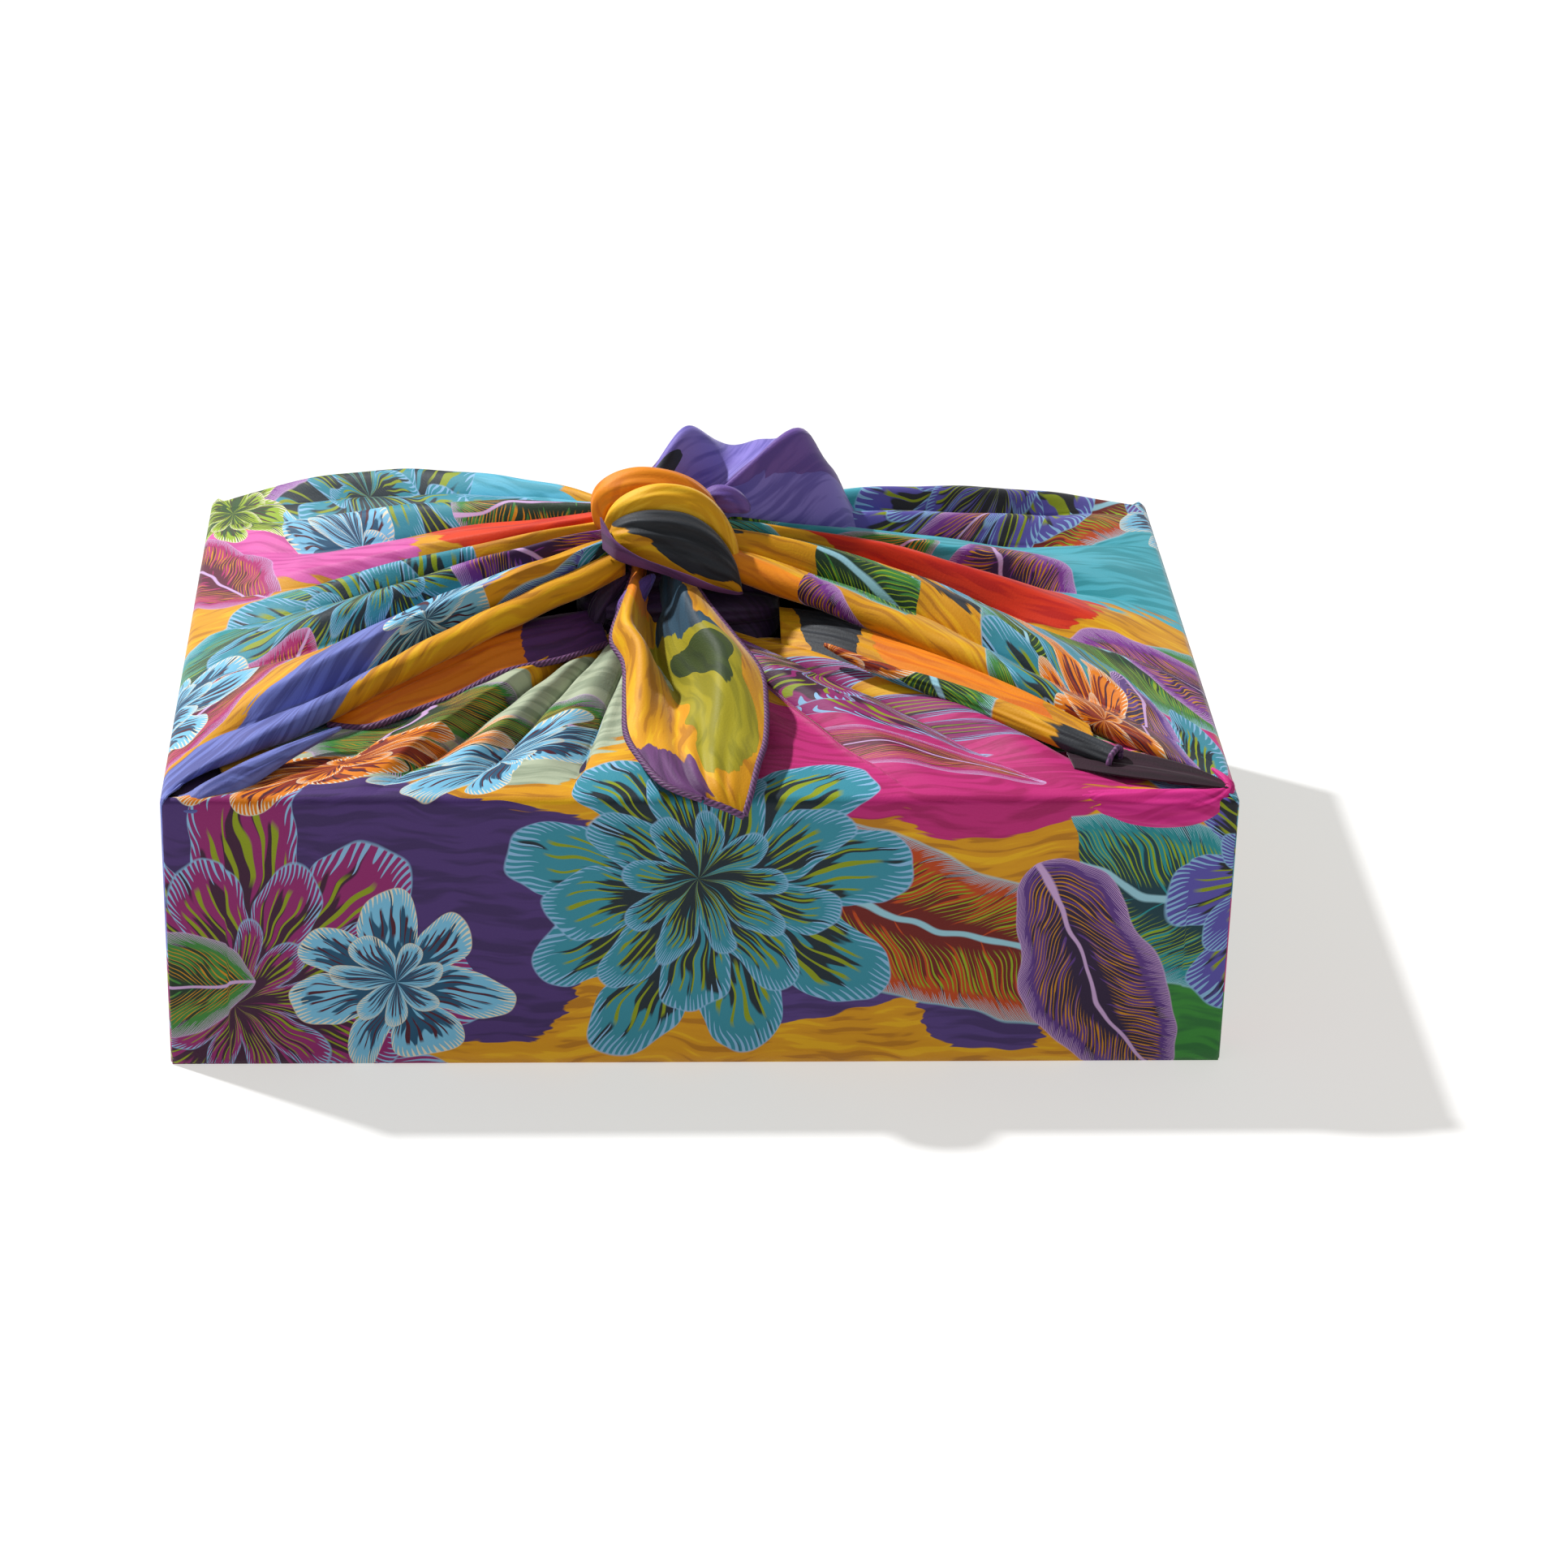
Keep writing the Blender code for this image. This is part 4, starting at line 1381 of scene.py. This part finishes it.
    def build(self) -> bpy.types.Object:
        """Returns:
            The piece.
        """
        points, flat = self.grid()
        east, north = self.side.value
        runs_up_in_y = self.folds[-1].edge > self.folds[0].edge
        outward = (east > 0 or north < 0) if runs_up_in_y else (east < 0 or north > 0)
        piece = thicken(sheet_object(self.name, points, flat, outward), CLOTH_THICK)
        piece.data.materials.append(self.wrap.cloth)
        area = grid_area(points)
        width = 2.0 * self.half
        length = float(np.abs(flat[..., 0 if east else 1]).max()) - self.half_across()
        area = min(area, width * length)
        return piece

    def half_across(self) -> float:
        """Measure from the middle of the underside to this side.

        Returns:
            The distance.
        """
        return self.wrap.width / 2 if self.side.value[0] else self.wrap.depth / 2


def grid_area(points: Array) -> float:
    """Measure a grid of points.

    Args:
        points: Points shaped (rows, columns, 3).

    Returns:
        Its area, the sum of its quads' halved diagonal products.
    """
    one = points[1:, 1:] - points[:-1, :-1]
    other = points[:-1, 1:] - points[1:, :-1]
    return float(np.linalg.norm(np.cross(one, other), axis=2).sum() / 2)


@dataclass
class Underside:
    """The cloth under the box."""

    wrap: Wrap
    steps: int = 24

    def build(self) -> bpy.types.Object:
        """Build the flat sheet that the wrap rests on.

        Returns:
            The piece.
        """
        inset = CLOTH_THICK
        x = np.linspace(-self.wrap.width / 2 + inset, self.wrap.width / 2 - inset, self.steps)
        y = np.linspace(-self.wrap.depth / 2 + inset, self.wrap.depth / 2 - inset, self.steps)
        across, deep = np.meshgrid(x, y)
        points = np.stack([across, deep, 0.0 * across], axis=-1)
        piece = thicken(sheet_object("cloth_underside", points, points[..., :2], False), CLOTH_THICK)
        piece.data.materials.append(self.wrap.cloth)
        return piece


@dataclass
class InnerLayers:
    """The corners' surplus cloth, tucked flat over the box beneath the tongues."""

    wrap: Wrap
    steps: int = 90
    inset: float = 0.004
    sink: float = 0.0012
    wave: float = 0.0004
    # This places the whole layer in the near-black field of the margin: dark purple print deepened as painted
    # shade for the hollows under the tongues.
    flat_at: tuple[float, float] = (0.57, 0.35)

    def build(self) -> bpy.types.Object:
        """Build the layer, which lies in low waves under the tongues.

        Returns:
            The piece.
        """
        x = np.linspace(-self.wrap.width / 2 + self.inset, self.wrap.width / 2 - self.inset, self.steps)
        y = np.linspace(-self.wrap.depth / 2 + self.inset, self.wrap.depth / 2 - self.inset, self.steps)
        across, deep = np.meshgrid(x, y)
        waves = np.sin(across * 90.0 + deep * 70.0) * np.sin(deep * 110.0 - across * 30.0)
        points = np.stack([across, deep, self.wrap.height - self.sink + self.wave * waves], axis=-1)
        flat = np.stack([deep * 0.8 + self.flat_at[0], across * 0.4 + self.flat_at[1]], axis=-1)
        piece = thicken(sheet_object("inner_layers", points, flat, True), CLOTH_THICK)
        piece.data.materials.append(self.wrap.cloth)
        return piece


@dataclass
class Strip:
    """A strip of cloth lofted through its sections: a tail, or the turn over the knot.

    flat_at is where its first section lies on the flat cloth, where it runs to the right. swell
    is the way its crests stand out.
    """

    name: str
    wrap: Wrap
    sections: tuple[Section, ...]
    swell: tuple[float, float, float]
    flat_at: tuple[float, float]
    held: str
    hems: tuple[str, ...] = ()
    rows: int = 96
    columns: int = 72
    hem_radius: float = 0.0012
    ripple: float = 0.0004
    ripples: float = 5.0

    def grid(self) -> tuple[Array, Array]:
        """The strip's points and their places on the flat cloth.

        Across, a smooth curve runs through the hems, the crests and the valley. Along, another
        runs through the sections. Fine ripples, sin(2 pi n s + 55 t) * sin(pi s)^2, lie over both
        and die out at the hems.

        Returns:
            Points shaped (rows, columns, 3), and flat places shaped (rows, columns, 2).
        """
        left = np.array([s.left for s in self.sections]) * MM
        right = np.array([s.right for s in self.sections]) * MM
        rises = np.array([(0.0, s.left_crest, s.valley, s.right_crest, 0.0) for s in self.sections]) * MM
        shares = np.array(CREST_SHARES)[None, :, None]
        cage = left[:, None] + shares * (right - left)[:, None] + rises[..., None] * np.array(self.swell)
        down = smooth_rows(cage, self.rows)
        points = smooth_rows(down.transpose(1, 0, 2), self.columns).transpose(1, 0, 2)
        along, across = run_length(points, 0), run_length(points, 1)
        width = np.maximum(across[:, -1:], CLOTH_THICK)
        share = across / width
        wave = np.sin(2.0 * math.pi * self.ripples * share + 55.0 * along)
        wave *= np.sin(math.pi * share) ** 2 * self.ripple * smoothstep(0.010, 0.030, width)
        points = points + wave[..., None] * np.array(self.swell)
        across = across - across[:, -1:] / 2
        middle = along.mean(axis=1)[:, None] + 0.0 * across
        return points, np.stack([middle, across], axis=-1) + np.array(self.flat_at)

    def hem(self, points: Array, edge: str) -> bpy.types.Object:
        """Roll a hem along one edge of the strip.

        Args:
            points: The strip's points.
            edge: left, right or end.

        Returns:
            The hem, a thin roll of thread.
        """
        path = {"left": points[:, 0], "right": points[:, -1], "end": points[-1]}[edge]
        keep = np.concatenate([[True], np.linalg.norm(np.diff(path, axis=0), axis=1) > 1e-6])
        path = path[keep]
        middle = smooth_rows(path[:: max(1, len(path) // 40)], 160)
        ring = tube_grid(middle, np.full(len(middle), self.hem_radius), 10, np.array((0.05, 0.1, 1.0)))
        flat = np.stack([run_length(ring, 0), run_length(ring, 1)], axis=-1)
        piece = sheet_object(f"{self.name}_hem_{edge}", ring, flat, True, closed=True)
        piece.data.materials.append(self.wrap.thread)
        return piece

    def build(self) -> list[bpy.types.Object]:
        """Returns:
            The strip and its hems.
        """
        points, flat = self.grid()
        piece = thicken(sheet_object(self.name, points, flat, True), CLOTH_THICK)
        piece.data.materials.append(self.wrap.cloth)
        hems = [self.hem(points, edge) for edge in self.hems]
        return [piece, *hems]


@dataclass
class Roll:
    """A rolled length of cloth: a soft tube with creases along it.

    An open roll is turned in at its far end, where a hem of thread runs round its mouth.
    """

    name: str
    wrap: Wrap
    path: tuple[tuple[float, float, float, float], ...]
    flat_at: tuple[float, float]
    opened: bool = False
    rows: int = 100
    sides: int = 64
    mouth_rows: int = 6
    mouth_share: float = 0.72

    def build(self) -> list[bpy.types.Object]:
        """Build the roll.

        Round its path the radius is r * (1 + 0.06 cos(3a + t) + 0.04 cos(7a - 2t) + 0.02 cos(12a
        + 3t)), where t runs along it. Its start is rounded off, and its far end too unless it is open.

        Returns:
            The roll, and the hem round its mouth if it is open.
        """
        table = smooth_rows(np.array(self.path, float), self.rows) * MM
        path, radius = table[:, :3], table[:, 3]
        ring = tube_grid(path, np.ones(self.rows), self.sides, np.array((0.02, 1.0, 0.3)))
        way = np.linspace(0.0, 4.0, self.rows)[:, None]
        angle = np.linspace(0.0, 2.0 * math.pi, self.sides + 1)[None, :]
        lobes = 1.0 + 0.06 * np.cos(3 * angle + way) + 0.04 * np.cos(7 * angle - 2 * way)
        lobes += 0.02 * np.cos(12 * angle + 3 * way)
        share = np.linspace(0.02, 1.0 if self.opened else 1.98, self.rows)
        ends = np.sin(0.5 * math.pi * share) ** 0.4
        points = path[:, None] + (ring - path[:, None]) * (radius * ends)[:, None, None] * lobes[..., None]
        if self.opened:
            deep = self.mouth_rows
            turned_in = self.mouth_share * (points[-deep:] - path[-deep:, None])[::-1]
            points = np.concatenate([points, path[-1] + turned_in + (path[-deep:] - path[-1])[::-1, None]])
        flat = np.stack([run_length(points, 0), run_length(points, 1)], axis=-1) + np.array(self.flat_at)
        piece = sheet_object(self.name, points, flat, True, closed=True)
        piece.data.materials.append(self.wrap.cloth)
        if not self.opened:
            return [piece]
        outwards = np.array((0.7, -0.7, 0.1))
        mouth = tube_grid(points[self.rows - 1], np.full(self.sides + 1, MM), 10, outwards)
        thread = sheet_object(f"{self.name}_hem_mouth", mouth, mouth[..., :2], True, closed=True)
        thread.data.materials.append(self.wrap.thread)
        return [piece, thread]


@dataclass
class KnotCore:
    """A knot's core: the gathered cloth that the turns close in, as a lobed form.

    It is an ellipsoid about an axis from left to right, with lobes that turn as they run along.
    """

    name: str
    wrap: Wrap
    middle: tuple[float, float, float]
    half: tuple[float, float, float]
    lean: float
    lobes: int
    lobe_depth: float
    turn: float
    flat_at: tuple[float, float]
    rings: int = 72
    sides: int = 160
    bluntness: float = 0.62

    def build(self) -> bpy.types.Object:
        """Build the core.

        Returns:
            The piece.
        """
        polar = np.linspace(0.001, math.pi - 0.001, self.rings)[:, None]
        angle = np.linspace(0.0, 2.0 * math.pi, self.sides + 1)[None, :]
        reach, girth = -np.cos(polar), np.sin(polar) ** self.bluntness
        main = np.cos(self.lobes * angle + self.turn * reach)
        fine = np.cos(3 * self.lobes * angle + 2.4 * self.turn * reach + 1.0)
        lobe = 1.0 + self.lobe_depth * (np.abs(main) ** 0.7 * np.sign(main) + 0.3 * fine)
        half = np.array(self.half) * MM
        offset = np.stack(
            [
                half[0] * reach + 0.0 * angle,
                half[1] * girth * lobe * np.cos(angle),
                half[2] * girth * lobe * np.sin(angle) - self.lean * half[0] * reach,
            ],
            axis=-1,
        )
        points = np.array(self.middle) * MM + offset
        flat = np.stack([run_length(points, 0), run_length(points, 1)], axis=-1) + np.array(self.flat_at)
        piece = sheet_object(self.name, points, flat, True, closed=True)
        piece.data.materials.append(self.wrap.cloth)
        return piece


# The studio.


@dataclass(frozen=True)
class Studio:
    """A sweep of white paper, a hard light from behind on the left, and the camera."""

    focus: float = 5357.0
    frame_pixels: float = 1932.0
    sensor: float = 36.0
    place: tuple[float, float, float] = (-0.053, -1.406, 0.738)
    yaw: float = 3.55
    pitch: float = 26.27
    roll: float = 1.56
    floor_half: float = 6.0
    floor_level: float = -0.0002
    sun_strength: float = 4.4
    sun_spread: float = 0.05
    sun_way: tuple[float, float, float] = (0.75, -0.48, -1.0)
    fill_strength: float = 0.40

    def floor(self) -> bpy.types.Object:
        """Lay the floor and give it the white paper.

        Returns:
            The floor.
        """
        reach = np.linspace(-self.floor_half, self.floor_half, 3)
        x, y = np.meshgrid(reach, reach)
        points = np.stack([x, y, np.full_like(x, self.floor_level)], axis=-1)
        floor = sheet_object("floor", points, points[..., :2], True)
        floor.data.materials.append(StudioPaper().build())
        return floor

    def lights(self) -> None:
        """Set one sun and an even fill."""
        sun = bpy.data.lights.new("sun", "SUN")
        sun.energy = self.sun_strength
        sun.angle = self.sun_spread
        lamp = bpy.data.objects.new("sun", sun)
        bpy.context.scene.collection.objects.link(lamp)
        towards = np.array(self.sun_way) / np.linalg.norm(self.sun_way)
        side = np.cross(towards, (0.0, 0.0, 1.0))
        side /= np.linalg.norm(side)
        up = np.cross(side, towards)
        lamp.matrix_world = Matrix(
            [(side[k], up[k], -towards[k], 0.0) for k in range(3)] + [(0.0, 0.0, 0.0, 1.0)]
        )
        world = bpy.data.worlds.new("studio fill")
        world.use_nodes = True
        fill = world.node_tree.nodes["Background"]
        fill.inputs["Color"].default_value = (1.0, 1.0, 1.0, 1.0)
        fill.inputs["Strength"].default_value = self.fill_strength
        bpy.context.scene.world = world
        bpy.context.scene.view_settings.view_transform = "Standard"

    def camera(self) -> None:
        """Stand the camera where the photographer stood.

        It looks along +Y, turned by its yaw about +Z, tipped down by its pitch and rolled about
        the way it looks.
        """
        yaw, pitch, roll = (math.radians(a) for a in (self.yaw, self.pitch, self.roll))
        level = math.cos(pitch)
        ahead = np.array((math.sin(yaw) * level, math.cos(yaw) * level, -math.sin(pitch)))
        right = np.array((math.cos(yaw), -math.sin(yaw), 0.0))
        up = np.cross(right, ahead)
        right, up = (
            right * math.cos(roll) + up * math.sin(roll),
            up * math.cos(roll) - right * math.sin(roll),
        )
        lens = bpy.data.cameras.new("camera")
        lens.sensor_width = self.sensor
        lens.lens = self.sensor * self.focus / self.frame_pixels
        camera = bpy.data.objects.new("camera", lens)
        bpy.context.scene.collection.objects.link(camera)
        camera.matrix_world = Matrix(
            [(right[k], up[k], -ahead[k], self.place[k]) for k in range(3)] + [(0.0, 0.0, 0.0, 1.0)]
        )
        bpy.context.scene.camera = camera


def main() -> None:
    """Build the wrapped box piece by piece."""
    logging.basicConfig(level=logging.INFO, format="%(message)s")
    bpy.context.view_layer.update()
    studio = Studio()
    studio.floor()
    studio.lights()
    studio.camera()
    wrap = Wrap(WRAP_WIDTH, WRAP_DEPTH, WRAP_HEIGHT, PrintedCrepe().build(), OverlockThread().build())
    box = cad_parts["gift_box"]
    box.data.materials.clear()
    box.data.materials.append(WrappedBoard().build())
    half_x, half_y = wrap.width / 2, wrap.depth / 2
    made: list[bpy.types.Object] = [Underside(wrap).build(), InnerLayers(wrap).build()]
    panels = (
        FoldedPanel(
            "front_flap", Side.FRONT, wrap, half_x, half_y - FRONT_STOP, FRONT_FOLDS, FRONT_CREASES, False
        ),
        FoldedPanel(
            "back_flap", Side.BACK, wrap, half_x, half_y - BACK_STOP, BACK_FOLDS, BACK_CREASES, False
        ),
        FoldedPanel("left_wing", Side.LEFT, wrap, half_y, half_x - LEFT_STOP, LEFT_FOLDS, LEFT_CREASES, True),
        FoldedPanel(
            "right_wing", Side.RIGHT, wrap, half_y, half_x - RIGHT_STOP, RIGHT_FOLDS, RIGHT_CREASES, True
        ),
    )
    made += [panel.build() for panel in panels]
    cores = (
        # The lower knot reads the near-black field: dark purple print with painted shade, under the upper
        # knot.
        KnotCore("lower_knot", wrap, (-5, 2, 114), (36, 27, 16), 0.08, 7, 0.100, 1.4, (0.48, 0.27)),
        KnotCore("upper_knot", wrap, (-12, 3, 143), (19, 13, 12), 0.25, 5, 0.055, 1.2, (0.48, -0.25)),
    )
    made += [core.build() for core in cores]
    rolls = (
        Roll("crown_roll", wrap, CROWN_ROLL, (0.48, -0.25)),
        Roll("crown_fold", wrap, CROWN_FOLD, (0.48, -0.42)),
        Roll("crown_knob", wrap, CROWN_KNOB, (0.50, 0.12)),
        Roll("right_roll", wrap, RIGHT_ROLL, (0.33, -0.16), opened=True),
        Roll("near_gathers", wrap, LEFT_GATHERS, (0.52, 0.11)),
        Roll("right_lip", wrap, RIGHT_LIP, (0.62, 0.02)),
        Roll("left_lip", wrap, LEFT_LIP, (-0.33, -0.165)),
        # The far gathers read the near-black field too: dark purple print with painted shade, under the knot.
        Roll("far_gathers", wrap, FAR_LEFT_GATHERS, (0.52, 0.30)),
    )
    strips = (
        Strip("knot_band", wrap, KNOT_BAND_SECTIONS, FORWARDS, (0.48, -0.150), "folded", ripple=0.0007),
        Strip("knot_hem", wrap, KNOT_HEM_SECTIONS, FORWARDS, (0.62, -0.08), "folded"),
        # The pocket reads the near-black maroon field, painted shade inside the fold.
        Strip("right_pocket", wrap, POCKET_SECTIONS, UPWARDS, (0.715, 0.33), "folded"),
        Strip("left_inner", wrap, LEFT_INNER_SECTIONS, UPWARDS, (0.60, -0.20), "folded", ("right",)),
        Strip("right_inner", wrap, RIGHT_INNER_SECTIONS, UPWARDS, (0.60, -0.35), "folded"),
        Strip(
            "front_tail", wrap, FRONT_TAIL_SECTIONS, UPWARDS, (0.48, -0.05), "hung", ALL_ROUND, ripple=0.0008
        ),
        Strip(
            "back_tail", wrap, BACK_TAIL_SECTIONS, UPWARDS, (0.48, 0.12), "draped", ALL_ROUND, ripple=0.0013
        ),
    )
    for wound in (*rolls, *strips):
        made += wound.build()
    for piece in made:
        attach(piece, "root")
        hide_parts("furoshiki")
    bpy.context.view_layer.update()
    for piece in made:
        triangles = 2 * len(piece.data.polygons) * (2 if piece.modifiers else 1)
        LOG.info("%s: about %d triangles", piece.name, triangles)
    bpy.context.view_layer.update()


if __name__ == "__main__":
    main()
